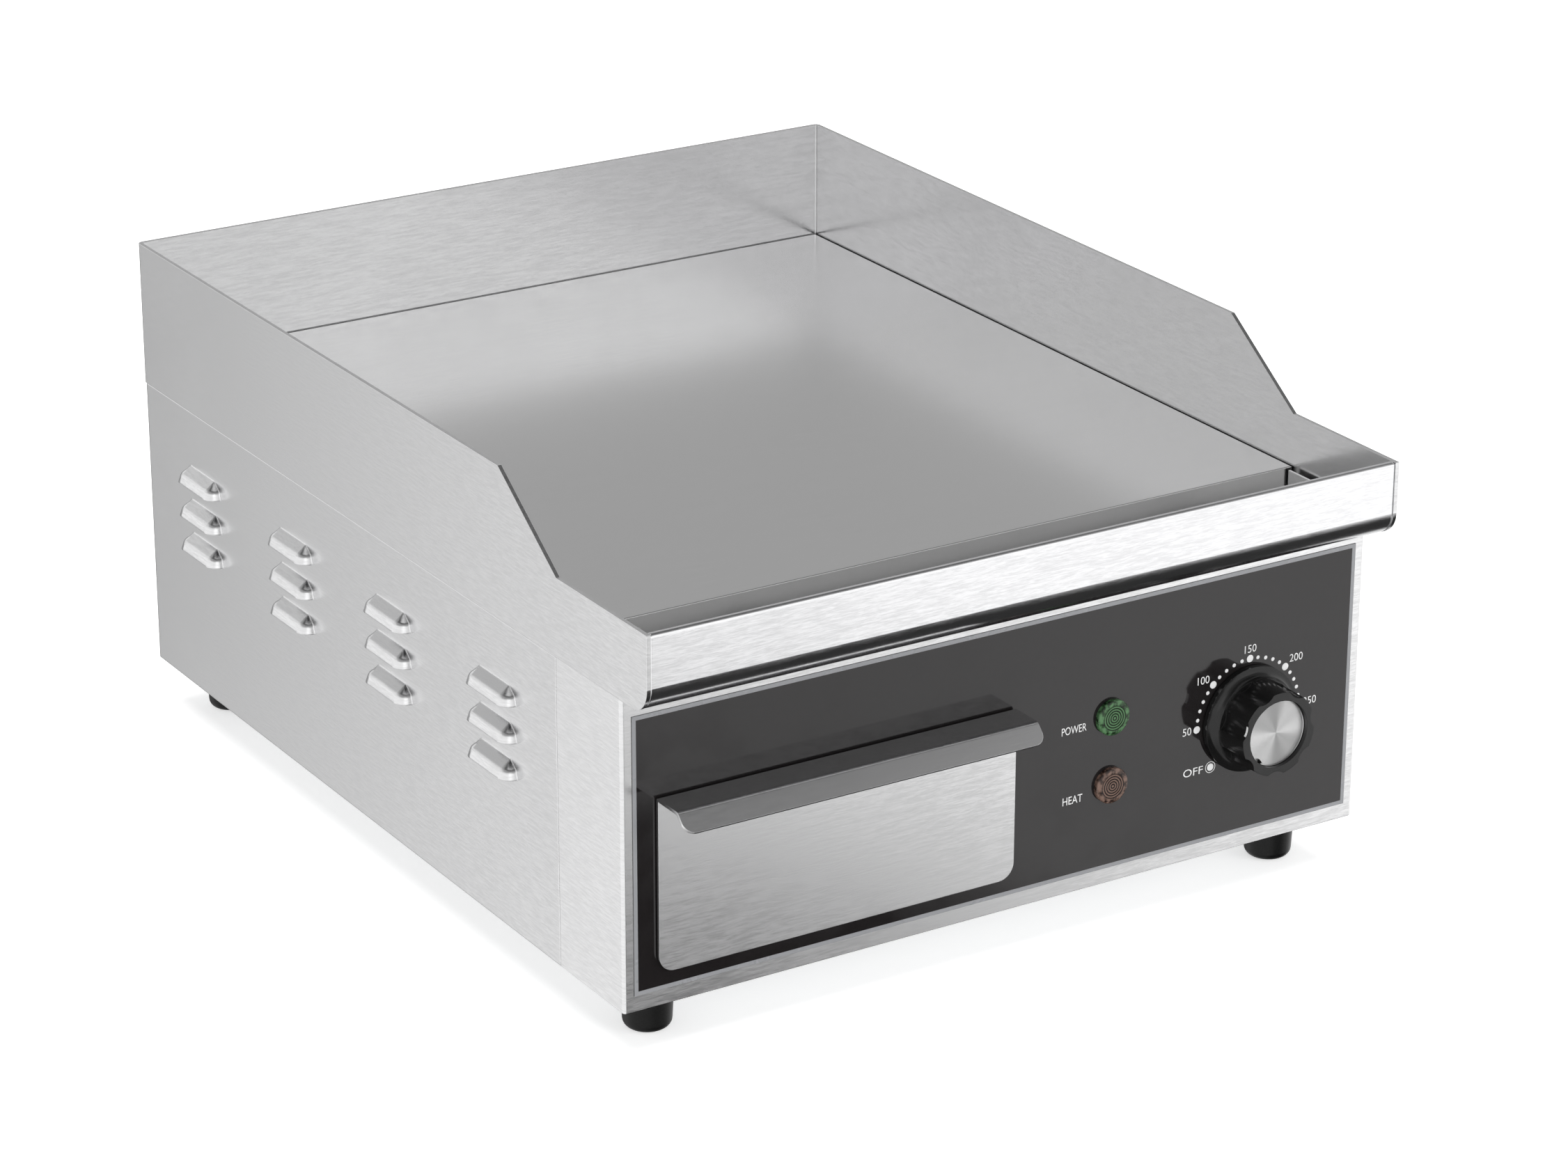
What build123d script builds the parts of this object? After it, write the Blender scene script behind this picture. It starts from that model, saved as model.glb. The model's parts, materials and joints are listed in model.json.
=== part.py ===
"""Countertop electric flat top griddle, 400 mm wide, as separate sheet-metal and working parts.

X runs to the user's right, Y runs from the control panel to the back, Z is up.
The origin is the centre of the whole griddle's footprint, on the worktop.
"""

from build123d import *
import math
import os

os.makedirs("parts", exist_ok=True)

# ---------------------------------------------------------------- driving sizes, mm
body_width = 400.0         # over the side panels
body_depth = 479.0         # face of the control panel to the back
lower_height = 149.0       # underside of the base to the seam below the splash guard
guard_height = 73.0        # seam to the top edge of the splash guard
foot_height = 24.0

# sheet metal
shell_t = 1.2              # control panel, side panels, rear panel, base
guard_t = 2.0              # splash guard
fascia_t = 1.2
trough_t = 1.0
drawer_front_t = 1.5
pan_t = 1.0
corner_r = 3.0             # outside radius of the rear upright corners
front_corner_r = 1.6       # outside radius of the control panel's upright corners

# control box
front_box_depth = 56.0     # how far the control panel wraps round the sides
seam_gap = 0.4
film_t = 0.3
film_side = 5.2            # steel margin left and right of the printed film
film_bottom = 7.5
film_top = 8.8

# splash guard outline
fascia_overhang = 22.4     # guard stands this far ahead of the control panel
cheek_low = 37.5           # height of the guard's front part above the seam
slope_top = 105.6          # behind the panel face, where the tall part begins
slope_foot = 54.7
nose_r = 12.5              # rolled lower front edge
ledge = 20.0               # inward flange that carries the cooking plate

# cooking plate
plate_t = 10.0
plate_front = 53.3         # behind the panel face
plate_gap = 0.8            # to the guard, left and right
plate_back_gap = 0.7

# grease trough and drain
trough_step = 14.0         # where the shelf drops into the channel
trough_rear = 57.0
trough_floor_drop = 15.0   # channel floor below the seam
trough_end_gap = 1.5       # clear of the guard at each end
trough_lip = 14.0          # turned back under the cooking plate
drain_x = -90.0
drain_y = 34.0
drain_r = 14.0
spout_t = 1.2
spout_end = 105.0          # above the base

# grease drawer
drawer_left = -183.4
drawer_right = 3.2
drawer_bottom = 16.6       # above the base's underside
drawer_top = 100.2
drawer_stand_off = 1.1     # back of the drawer front to the panel face
drawer_cover = 6.4         # how far the drawer front laps over its cut-out
drawer_corner_r = 8.0
handle_reach = 19.0        # flange, panel face to the bend
handle_lip = 10.7
handle_angle = 45.0
handle_corner_r = 5.5
pan_depth = 170.0
pan_side_gap = 3.0         # pan to the edge of the cut-out
pan_height = 66.0
runner_t = 1.5
runner_gap = 0.3           # pan above its runners

# thermostat knob
knob_x = 135.5
knob_z = 65.65             # above the base's underside
knob_skirt_r = 26.0
knob_grip_r = 20.8
knob_face_r = 20.5
knob_base = 0.9            # skirt in front of the panel face
knob_skirt_h = 2.6
knob_flare_h = 9.5
knob_height = 24.2
knob_wall = 2.4
cap_r = 16.3
cap_t = 1.0
cap_recess = 2.2
cap_gap = 0.1
flute_count = 7
flute_depth = 1.4
flute_r = 7.5
flute_end = 7.0            # flutes stop this far from the panel face
flute_first = 28.3         # degrees clockwise from the top
shaft_r = 3.0
shaft_fit = 0.05           # radial clearance in the thermostat's bush
shaft_flat = 1.9           # centre line to the flat of the D
shaft_outer_end = 14.0

# pilot lamps
lamp_x = 57.3
lamp_z_power = 83.6
lamp_z_heat = 49.7
lens_r = 8.7
lens_h = 3.0
lamp_body_r = 6.0
lamp_hole_gap = 0.3
lamp_depth = 28.0

# side louvres
louvre_columns = 4
louvre_rows = 3
louvre_first_y = 112.6
louvre_pitch_y = 100.2
louvre_first_z = 76.4
louvre_pitch_z = 17.85
louvre_flat = 26.5
louvre_reach = 6.6
louvre_height = 8.2
louvre_t = 0.8
louvre_knee = (0.8, 0.5)   # where the hood bends, as shares of its reach and height
louvre_knee_r = 3.0

# feet
foot_inset = 27.75
foot_top_r = 12.35
foot_low_r = 11.1
foot_edge_r = 4.0

# fasteners
m4_r = 2.0
m4_head_r = 3.6
m4_head_h = 2.4
m6_r = 3.0
m6_head_r = 5.2
m6_head_h = 3.4
m6_nut_across = 10.0
m6_nut_h = 5.0
clear = 0.3                # radial room round a screw in its hole

# heating
element_r = 4.0
element_spacing = 62.0     # centre to centre of one hairpin's legs
element_pitch = 112.0
element_front = 74.0
element_back_gap = 27.0    # bend of the elements to the back
clamp_bar_t = 3.0
clamp_bar_w = 22.0
insulation_t = 24.0

# supply and bonding
gland_x = 150.0
gland_z = 40.0
gland_bore_r = 4.5
gland_thread_r = 8.0
gland_reach = 22.0
bond_x = -150.0
bond_z = 40.0
bond_length = 15.0
bond_shank_r = 2.4         # under the nuts

# ---------------------------------------------------------------- levels and edges
lip_drop = handle_lip * math.sin(math.radians(handle_angle))
lip_run = handle_lip * math.cos(math.radians(handle_angle))
lip_reach = handle_reach + lip_run
overall_depth = lip_reach + body_depth + gland_reach
face_y = lip_reach - overall_depth / 2          # face of the control panel
rear_y = face_y + body_depth
half_w = body_width / 2
base_z = foot_height
seam_z = base_z + lower_height
guard_top_z = seam_z + guard_height
plate_low_z = seam_z + guard_t
plate_top_z = plate_low_z + plate_t
inner_w = half_w - shell_t
guard_inner = half_w - guard_t
knob_axis_z = base_z + knob_z
panel_back_y = face_y + shell_t
element_rear = body_depth - element_back_gap


# ---------------------------------------------------------------- helpers
def block(x, y, z, mode=Mode.ADD):
    """Add or cut a box between its low and high x, y and z."""
    with Locations(((x[0] + x[1]) / 2, (y[0] + y[1]) / 2, (z[0] + z[1]) / 2)):
        Box(x[1] - x[0], y[1] - y[0], z[1] - z[0], mode=mode)


def bar(axis, centre, radius, span, mode=Mode.ADD):
    """Add or cut a round bar along axis; span is its low and high position on that axis."""
    place = list(centre)
    place["XYZ".index(axis)] = (span[0] + span[1]) / 2
    turn = {"X": (0, 90, 0), "Y": (90, 0, 0), "Z": (0, 0, 0)}[axis]
    with Locations(Location(tuple(place), turn)):
        Cylinder(radius, span[1] - span[0], mode=mode)


def hexagon(axis, centre, across, span):
    """Add a six-sided bar, measured across its flats, along axis."""
    place = list(centre)
    place["XYZ".index(axis)] = span[0]
    plane = {"Y": Plane(tuple(place), x_dir=(1, 0, 0), z_dir=(0, 1, 0)), "Z": Plane(tuple(place))}[axis]
    with BuildSketch(plane) as outline:
        RegularPolygon(across / 2, 6, major_radius=False)
    extrude(outline.sketch, amount=span[1] - span[0])


def save(builder, name):
    """Label a finished part and write it out under its own name."""
    builder.part.label = name
    export_step(builder.part, f"parts/{name}.step")


def at_y(distance):
    """Y of a point that lies this far behind the control panel's face."""
    return face_y + distance


# ---------------------------------------------------------------- shared positions
foot_spots = [
    ("front_left", -half_w + foot_inset, at_y(foot_inset)),
    ("front_right", half_w - foot_inset, at_y(foot_inset)),
    ("rear_left", -half_w + foot_inset, rear_y - foot_inset),
    ("rear_right", half_w - foot_inset, rear_y - foot_inset),
]
opening_x = (drawer_left + drawer_cover, drawer_right - drawer_cover)
opening_z = (base_z + drawer_bottom + drawer_cover, base_z + drawer_top - drawer_cover)
lamp_spots = {"power": base_z + lamp_z_power, "heat": base_z + lamp_z_heat}
thermostat_screw_x = (knob_x - 14.0, knob_x + 14.0)
plate_stud_x = guard_inner - ledge + 7.0
plate_stud_ys = (at_y(90.0), at_y(body_depth / 2 + 25.0), rear_y - 40.0)
clamp_ys = (at_y(140.0), rear_y - 100.0)
clamp_stud_xs = (-element_pitch, 0.0, element_pitch)
rear_screw_zs = (base_z + 20.0, base_z + lower_height / 2, seam_z - 20.0)
rear_flange = 16.0
rear_screw_x = half_w - corner_r - rear_flange / 2
rear_panel_half = half_w - corner_r - 1.0

# ---------------------------------------------------------------- base pan
base_flange = 15.0
vent_slot = (60.0, 5.0)
with BuildPart() as base_pan:
    block((-inner_w, inner_w), (panel_back_y, rear_y - 2 * shell_t), (base_z, base_z + shell_t))
    fillet(base_pan.edges().filter_by(Axis.Z), corner_r)
    for side in (-1, 1):
        wall = sorted((side * inner_w, side * (inner_w - shell_t)))
        wall_y = (at_y(front_box_depth), rear_y - 2 * shell_t - corner_r)
        block(wall, wall_y, (base_z, base_z + base_flange))
    front_flange = (panel_back_y, panel_back_y + shell_t)
    block((-inner_w + corner_r, inner_w - corner_r), front_flange, (base_z, base_z + base_flange))
    for _, foot_x, foot_y in foot_spots:
        bar("Z", (foot_x, foot_y, 0), m6_r + clear, (base_z, base_z + shell_t), Mode.SUBTRACT)
    with BuildSketch(Plane.XY.offset(base_z)):
        with Locations((60.0, at_y(body_depth * 0.62))):
            with GridLocations(90.0, 16.0, 2, 6):
                SlotOverall(*vent_slot)
    extrude(amount=shell_t, mode=Mode.SUBTRACT)
save(base_pan, "base_pan")

# ---------------------------------------------------------------- control panel
panel_top_flange = 5.0
film_hole_r = 21.5
bush_hole_r = 5.2
with BuildPart() as front_panel:
    with BuildSketch(Plane.XY.offset(base_z)):
        with BuildLine():
            mid = half_w - shell_t / 2
            FilletPolyline(
                (-mid, at_y(front_box_depth)),
                (-mid, face_y + shell_t / 2),
                (mid, face_y + shell_t / 2),
                (mid, at_y(front_box_depth)),
                radius=front_corner_r - shell_t / 2,
            )
        trace(line_width=shell_t)
    extrude(amount=lower_height)
    block((-inner_w + 1, inner_w - 1), (panel_back_y, face_y + panel_top_flange), (seam_z - shell_t, seam_z))
    block(opening_x, (face_y, panel_back_y), opening_z, Mode.SUBTRACT)
    for lamp_z in lamp_spots.values():
        hole_r = lamp_body_r + lamp_hole_gap
        bar("Y", (lamp_x, 0, lamp_z), hole_r, (face_y, panel_back_y), Mode.SUBTRACT)
    bar("Y", (knob_x, 0, knob_axis_z), bush_hole_r, (face_y, panel_back_y), Mode.SUBTRACT)
    for screw_x in thermostat_screw_x:
        bar("Y", (screw_x, 0, knob_axis_z), m4_r + clear, (face_y, panel_back_y), Mode.SUBTRACT)
save(front_panel, "front_panel")

# ---------------------------------------------------------------- printed film on the panel
film_x = half_w - film_side
film_z = (base_z + film_bottom, seam_z - film_top)
with BuildPart() as control_overlay:
    block((-film_x, film_x), (face_y - film_t, face_y), film_z)
    block(opening_x, (face_y - film_t, face_y), opening_z, Mode.SUBTRACT)
    for lamp_z in lamp_spots.values():
        hole_r = lamp_body_r + lamp_hole_gap
        bar("Y", (lamp_x, 0, lamp_z), hole_r, (face_y - film_t, face_y), Mode.SUBTRACT)
    bar("Y", (knob_x, 0, knob_axis_z), film_hole_r, (face_y - film_t, face_y), Mode.SUBTRACT)
save(control_overlay, "control_overlay")

# ---------------------------------------------------------------- one pressed louvre
with BuildPart() as hood_outer:
    with BuildSketch(Plane.XZ.offset(louvre_flat / 2)) as hood_profile:
        with BuildLine():
            Line((0, louvre_height), (0, 0))
            Line((0, 0), (-louvre_reach, 0))
            FilletPolyline(
                (-louvre_reach, 0),
                (-louvre_knee[0] * louvre_reach, louvre_knee[1] * louvre_height),
                (0, louvre_height),
                radius=louvre_knee_r,
            )
        make_face()
    extrude(amount=-louvre_flat)
    for end in (-1, 1):
        with BuildSketch(Plane.XZ.offset(end * louvre_flat / 2)):
            add(hood_profile.sketch_local)
        revolve(axis=Axis((0, -end * louvre_flat / 2, 0), (0, 0, end)), revolution_arc=90)

inner_reach = louvre_reach - louvre_t
inner_rise = louvre_height - 1.6 * louvre_t
with BuildPart() as hood_inner:
    with BuildSketch(Plane.XZ.offset(louvre_flat / 2)) as hood_void:
        with BuildLine():
            Line((0, inner_rise), (0, 0))
            Line((0, 0), (-inner_reach, 0))
            FilletPolyline(
                (-inner_reach, 0),
                (-louvre_knee[0] * inner_reach, louvre_knee[1] * inner_rise),
                (0, inner_rise),
                radius=louvre_knee_r - louvre_t,
            )
        make_face()
    extrude(amount=-louvre_flat)
    for end in (-1, 1):
        with BuildSketch(Plane.XZ.offset(end * louvre_flat / 2)):
            add(hood_void.sketch_local)
        revolve(axis=Axis((0, -end * louvre_flat / 2, 0), (0, 0, end)), revolution_arc=90)
    block((0, shell_t), (-louvre_flat / 2 - 3, louvre_flat / 2 + 3), (0, inner_rise - 1.0))

louvre_spots = [
    (-half_w, at_y(louvre_first_y + column * louvre_pitch_y), base_z + louvre_first_z + row * louvre_pitch_z)
    for column in range(louvre_columns)
    for row in range(louvre_rows)
]

# ---------------------------------------------------------------- side panels
side_top_flange = 8.0
with BuildPart() as left_side_panel:
    with BuildSketch(Plane.XY.offset(base_z)):
        with BuildLine():
            mid = half_w - shell_t / 2
            FilletPolyline(
                (-mid, at_y(front_box_depth + seam_gap)),
                (-mid, rear_y - 1.5 * shell_t),
                (-half_w + corner_r + rear_flange, rear_y - 1.5 * shell_t),
                radius=corner_r - shell_t / 2,
            )
        trace(line_width=shell_t)
    extrude(amount=lower_height)
    block(
        (-inner_w, -inner_w + side_top_flange),
        (at_y(trough_rear + 2.0), rear_y - 2 * shell_t - corner_r),
        (seam_z - shell_t, seam_z),
    )
    with Locations(*louvre_spots):
        add(hood_outer.part)
        add(hood_inner.part, mode=Mode.SUBTRACT)
    for screw_z in rear_screw_zs:
        hole_y = (rear_y - 2 * shell_t, rear_y - shell_t)
        bar("Y", (-rear_screw_x, 0, screw_z), m4_r + clear, hole_y, Mode.SUBTRACT)
save(left_side_panel, "left_side_panel")

with BuildPart() as right_side_panel:
    add(mirror(left_side_panel.part, about=Plane.YZ, mode=Mode.PRIVATE))
save(right_side_panel, "right_side_panel")

# ---------------------------------------------------------------- rear panel
rear_wall = (rear_y - shell_t, rear_y)
with BuildPart() as rear_panel:
    block((-rear_panel_half, rear_panel_half), rear_wall, (base_z, seam_z))
    with BuildSketch(Plane.XZ.offset(-rear_y)):
        with Locations((0, base_z + lower_height * 0.66)):
            with GridLocations(70.0, 14.0, 3, 4):
                SlotOverall(48.0, 5.0)
    extrude(amount=shell_t, mode=Mode.SUBTRACT)
    for side in (-1, 1):
        for screw_z in rear_screw_zs:
            bar("Y", (side * rear_screw_x, 0, screw_z), m4_r + clear, rear_wall, Mode.SUBTRACT)
    bar("Y", (gland_x, 0, base_z + gland_z), gland_thread_r + clear, rear_wall, Mode.SUBTRACT)
    bar("Y", (bond_x, 0, base_z + bond_z), m6_r + clear, rear_wall, Mode.SUBTRACT)
save(rear_panel, "rear_panel")

# ---------------------------------------------------------------- splash guard
guard_front_y = face_y - fascia_overhang
cheek_low_z = seam_z + cheek_low
with BuildPart() as splash_guard:
    with BuildSketch(Plane.XY.offset(seam_z)):
        with BuildLine():
            mid = half_w - guard_t / 2
            FilletPolyline(
                (-mid, guard_front_y),
                (-mid, rear_y - guard_t / 2),
                (mid, rear_y - guard_t / 2),
                (mid, guard_front_y),
                radius=corner_r - guard_t / 2,
            )
        trace(line_width=guard_t)
    extrude(amount=guard_height)
    with BuildSketch(Plane.XY.offset(seam_z)):
        with BuildLine():
            mid = guard_inner - ledge / 2
            rim_front = at_y(trough_rear + trough_lip + 1.0)
            rim_rear = rear_y - guard_t - ledge / 2
            Polyline((-mid, rim_front), (-mid, rim_rear), (mid, rim_rear), (mid, rim_front))
        trace(line_width=ledge)
    extrude(amount=guard_t)
    with BuildSketch(Plane.YZ.offset(-half_w)):
        with BuildLine():
            Polyline(
                (guard_front_y, cheek_low_z),
                (at_y(slope_foot), cheek_low_z),
                (at_y(slope_top), guard_top_z),
                (guard_front_y, guard_top_z),
                (guard_front_y, cheek_low_z),
            )
        make_face()
    extrude(amount=body_width, mode=Mode.SUBTRACT)
    nose = splash_guard.edges().filter_by(Axis.X).group_by(Axis.Y)[0].group_by(Axis.Z)[0]
    fillet(nose, nose_r)
    for side in (-1, 1):
        for stud_y in plate_stud_ys:
            hole = (side * plate_stud_x, stud_y, 0)
            bar("Z", hole, m6_r + clear, (seam_z, seam_z + guard_t), Mode.SUBTRACT)
save(splash_guard, "splash_guard")

# ---------------------------------------------------------------- front fascia
fascia_return = 14.0
hem = 2.6
fascia_front_y = guard_front_y + 0.3
fascia_mid = fascia_t / 2
with BuildPart() as front_fascia:
    with BuildSketch(Plane.YZ.offset(-guard_inner)):
        with BuildLine():
            top_z = cheek_low_z - fascia_mid
            FilletPolyline(
                (fascia_front_y + hem, top_z),
                (fascia_front_y + fascia_mid, top_z),
                (fascia_front_y + fascia_mid, seam_z + fascia_mid),
                (face_y + panel_top_flange - 1, seam_z + fascia_mid),
                radius=[fascia_t, nose_r - fascia_mid],
            )
        trace(line_width=fascia_t)
    extrude(amount=2 * guard_inner)
    for side in (-1, 1):
        tab = sorted((side * guard_inner, side * (guard_inner - fascia_t)))
        tab_y = (fascia_front_y + fascia_t, fascia_front_y + fascia_t + fascia_return)
        block(tab, tab_y, (seam_z + nose_r + 2, cheek_low_z - 6))
    corners = front_fascia.edges().filter_by(Axis.Z).group_by(Axis.Y)[0]
    fillet(corners, fascia_t * 0.8)
save(front_fascia, "front_fascia")

# ---------------------------------------------------------------- grease trough
trough_half = guard_inner - fascia_t - trough_end_gap
trough_front_y = fascia_front_y + fascia_t + hem
shelf_z = seam_z + fascia_t + trough_t / 2 + 0.1
channel_z = seam_z - trough_floor_drop
trough_wall_z = seam_z + 22.0
trough_end_z = seam_z + 11.0
trough_lip_z = seam_z + guard_t - trough_t / 2
trough_front_bend = nose_r - fascia_t - hem
with BuildPart() as grease_trough:
    with BuildSketch(Plane.YZ.offset(-trough_half)):
        with BuildLine():
            FilletPolyline(
                (trough_front_y, trough_wall_z),
                (trough_front_y, shelf_z),
                (at_y(panel_top_flange + 2), shelf_z),
                (at_y(trough_step), channel_z),
                (at_y(trough_rear - 1), channel_z),
                (at_y(trough_rear - 1), trough_lip_z),
                (at_y(trough_rear + trough_lip), trough_lip_z),
                radius=[trough_front_bend, 2.5, 4.0, 4.0, 1.2],
            )
        trace(line_width=trough_t)
    extrude(amount=2 * trough_half)
    for side in (-1, 1):
        with BuildSketch(Plane.YZ.offset(side * trough_half)):
            with BuildLine():
                Polyline(
                    (trough_front_y, trough_end_z),
                    (trough_front_y, shelf_z + trough_front_bend),
                    (trough_front_y + trough_front_bend, shelf_z),
                    (at_y(panel_top_flange + 2), shelf_z),
                    (at_y(trough_step), channel_z),
                    (at_y(trough_rear - 1), channel_z),
                    (at_y(trough_rear - 1), seam_z - 1.0),
                    (at_y(plate_front - 1.5), seam_z - 1.0),
                    (at_y(plate_front - 1.5), trough_end_z),
                    (trough_front_y, trough_end_z),
                )
            make_face()
        extrude(amount=-side * trough_t)
    bar("Z", (drain_x, at_y(drain_y), 0), drain_r, (channel_z - 2, channel_z + 2), Mode.SUBTRACT)
save(grease_trough, "grease_trough")

with BuildPart() as drain_spout:
    spout_top = channel_z - trough_t / 2
    bar("Z", (drain_x, at_y(drain_y), 0), drain_r + spout_t, (base_z + spout_end, spout_top))
    bar("Z", (drain_x, at_y(drain_y), 0), drain_r + 5, (spout_top - spout_t, spout_top))
    bar("Z", (drain_x, at_y(drain_y), 0), drain_r, (base_z + spout_end, spout_top), Mode.SUBTRACT)
save(drain_spout, "drain_spout")

# ---------------------------------------------------------------- cooking plate
plate_half = guard_inner - plate_gap
plate_rear_y = rear_y - guard_t - plate_back_gap
with BuildPart() as griddle_plate:
    block((-plate_half, plate_half), (at_y(plate_front), plate_rear_y), (plate_low_z, plate_top_z))
    top_edges = griddle_plate.edges().group_by(Axis.Z)[-1]
    fillet(top_edges, 0.6)
save(griddle_plate, "griddle_plate")

# ---------------------------------------------------------------- insulation tray
tray_half = plate_stud_x - 11.0
tray_flange = 16.0
tray_floor_z = seam_z - 44.0
tray_front_y = at_y(trough_rear + trough_lip / 2)
tray_rear_y = rear_y - guard_t - ledge + 6.0
with BuildPart() as insulation_tray:
    block((-tray_half, tray_half), (tray_front_y, tray_rear_y), (tray_floor_z, tray_floor_z + shell_t))
    for side in (-1, 1):
        wall = sorted((side * tray_half, side * (tray_half - shell_t)))
        flange = sorted((side * tray_half, side * (tray_half + tray_flange)))
        block(wall, (tray_front_y, tray_rear_y), (tray_floor_z, seam_z))
        block(flange, (at_y(trough_rear + 16), tray_rear_y - 12), (seam_z - shell_t, seam_z))
        for stud_y in plate_stud_ys:
            hole = (side * plate_stud_x, stud_y, 0)
            bar("Z", hole, m6_r + clear, (seam_z - shell_t, seam_z), Mode.SUBTRACT)
    for wall_y in (tray_front_y, tray_rear_y - shell_t):
        block((-tray_half, tray_half), (wall_y, wall_y + shell_t), (tray_floor_z, seam_z - 8))
save(insulation_tray, "insulation_tray")

with BuildPart() as insulation_block:
    block(
        (-tray_half + shell_t + 0.5, tray_half - shell_t - 0.5),
        (tray_front_y + shell_t + 0.5, tray_rear_y - shell_t - 0.5),
        (tray_floor_z + shell_t, tray_floor_z + shell_t + insulation_t),
    )
save(insulation_block, "insulation_block")

# ---------------------------------------------------------------- heating elements and their clamps
element_z = plate_low_z - element_r
pin_r = 1.5
pin_length = 6.0
leg = element_spacing / 2
for position, element_x in (("left", -element_pitch), ("centre", 0.0), ("right", element_pitch)):
    with BuildPart() as heating_element:
        with BuildLine(Plane.XY.offset(element_z)) as hairpin:
            bend_y = at_y(element_rear) - leg
            Line((element_x - leg, at_y(element_front)), (element_x - leg, bend_y))
            ThreePointArc((element_x - leg, bend_y), (element_x, bend_y + leg), (element_x + leg, bend_y))
            Line((element_x + leg, bend_y), (element_x + leg, at_y(element_front)))
        with BuildSketch(Plane((element_x - leg, at_y(element_front), element_z), z_dir=(0, 1, 0))):
            Circle(element_r)
        sweep(path=hairpin.line)
        for side in (-1, 1):
            pin_y = (at_y(element_front) - pin_length, at_y(element_front))
            bar("Y", (element_x + side * leg, 0, element_z), pin_r, pin_y)
    save(heating_element, f"heating_element_{position}")

clamp_low_z = element_z - element_r - clamp_bar_t
clamp_half = element_pitch + leg + 12.0
for position, clamp_y in zip(("front", "rear"), clamp_ys):
    with BuildPart() as element_clamp:
        span_y = (clamp_y - clamp_bar_w / 2, clamp_y + clamp_bar_w / 2)
        block((-clamp_half, clamp_half), span_y, (clamp_low_z, clamp_low_z + clamp_bar_t))
        for stud_x in clamp_stud_xs:
            hole_z = (clamp_low_z, clamp_low_z + clamp_bar_t)
            bar("Z", (stud_x, clamp_y, 0), m6_r + clear, hole_z, Mode.SUBTRACT)
        fillet(element_clamp.edges().filter_by(Axis.Z).group_by(Axis.X)[0], 4.0)
        fillet(element_clamp.edges().filter_by(Axis.Z).group_by(Axis.X)[-1], 4.0)
    save(element_clamp, f"element_clamp_{position}")

stud_tail = 2.5
clamp_spots = [(x, y) for x in clamp_stud_xs for y in clamp_ys]
plate_stud_spots = [(side * plate_stud_x, y) for side in (-1, 1) for y in plate_stud_ys]
with BuildPart() as clamp_studs:
    for x, y in clamp_spots:
        bar("Z", (x, y, 0), m6_r, (clamp_low_z - m6_nut_h - stud_tail, plate_low_z))
save(clamp_studs, "clamp_studs")

with BuildPart() as clamp_nuts:
    for x, y in clamp_spots:
        hexagon("Z", (x, y, 0), m6_nut_across, (clamp_low_z - m6_nut_h, clamp_low_z))
        bar("Z", (x, y, 0), m6_r + 0.05, (clamp_low_z - m6_nut_h, clamp_low_z), Mode.SUBTRACT)
save(clamp_nuts, "clamp_nuts")

with BuildPart() as plate_studs:
    for x, y in plate_stud_spots:
        bar("Z", (x, y, 0), m6_r, (seam_z - shell_t - m6_nut_h - stud_tail, plate_low_z))
save(plate_studs, "plate_studs")

with BuildPart() as plate_nuts:
    nut_span = (seam_z - shell_t - m6_nut_h, seam_z - shell_t)
    for x, y in plate_stud_spots:
        hexagon("Z", (x, y, 0), m6_nut_across, nut_span)
        bar("Z", (x, y, 0), m6_r + 0.05, nut_span, Mode.SUBTRACT)
save(plate_nuts, "plate_nuts")

# ---------------------------------------------------------------- grease drawer
front_back_y = face_y - drawer_stand_off
front_face_y = front_back_y - drawer_front_t
drawer_top_z = base_z + drawer_top
drawer_low_z = base_z + drawer_bottom
bend_y = face_y - handle_reach
lip_a = math.radians(handle_angle)
lip_under = (drawer_front_t * math.sin(lip_a), -drawer_front_t * math.cos(lip_a))
lip_tip = (bend_y - lip_run, drawer_top_z - lip_drop)
with BuildPart() as drawer_front:
    with BuildSketch(Plane.YZ.offset(drawer_left)) as front_section:
        with BuildLine():
            Polyline(
                (front_back_y, drawer_low_z),
                (front_back_y, drawer_top_z),
                (bend_y, drawer_top_z),
                lip_tip,
                (lip_tip[0] + lip_under[0], lip_tip[1] + lip_under[1]),
                (bend_y + drawer_front_t * math.tan(lip_a / 2), drawer_top_z - drawer_front_t),
                (front_face_y, drawer_top_z - drawer_front_t),
                (front_face_y, drawer_low_z),
                (front_back_y, drawer_low_z),
            )
        make_face()
        outer_bends = [v for v in front_section.vertices() if abs(v.Z - drawer_top_z) < 0.01]
        fillet(outer_bends, drawer_front_t)
    extrude(amount=drawer_right - drawer_left)
    low_corners = drawer_front.edges().filter_by(Axis.Y).group_by(Axis.Z)[0]
    fillet(low_corners, drawer_corner_r)
    tip_corners = [
        edge
        for edge in drawer_front.edges()
        if edge.center().Y < lip_tip[0] + drawer_front_t and abs(edge.length - drawer_front_t) < 0.01
    ]
    fillet(tip_corners, handle_corner_r)
save(drawer_front, "drawer_front")

pan_x = (opening_x[0] + pan_side_gap, opening_x[1] - pan_side_gap)
pan_low_z = opening_z[0] + 2.0
pan_y = (front_back_y, at_y(pan_depth))
pan_top_z = pan_low_z + pan_height
with BuildPart() as drawer_pan:
    block(pan_x, pan_y, (pan_low_z, pan_top_z))
    fillet(drawer_pan.edges().filter_by(Axis.Z).group_by(Axis.Y)[-1], 6.0)
    fillet(drawer_pan.edges().group_by(Axis.Z)[0].filter_by(Axis.X).group_by(Axis.Y)[-1], 5.0)
    offset(amount=-pan_t, openings=drawer_pan.faces().sort_by(Axis.Z)[-1])
save(drawer_pan, "drawer_pan")

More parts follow.
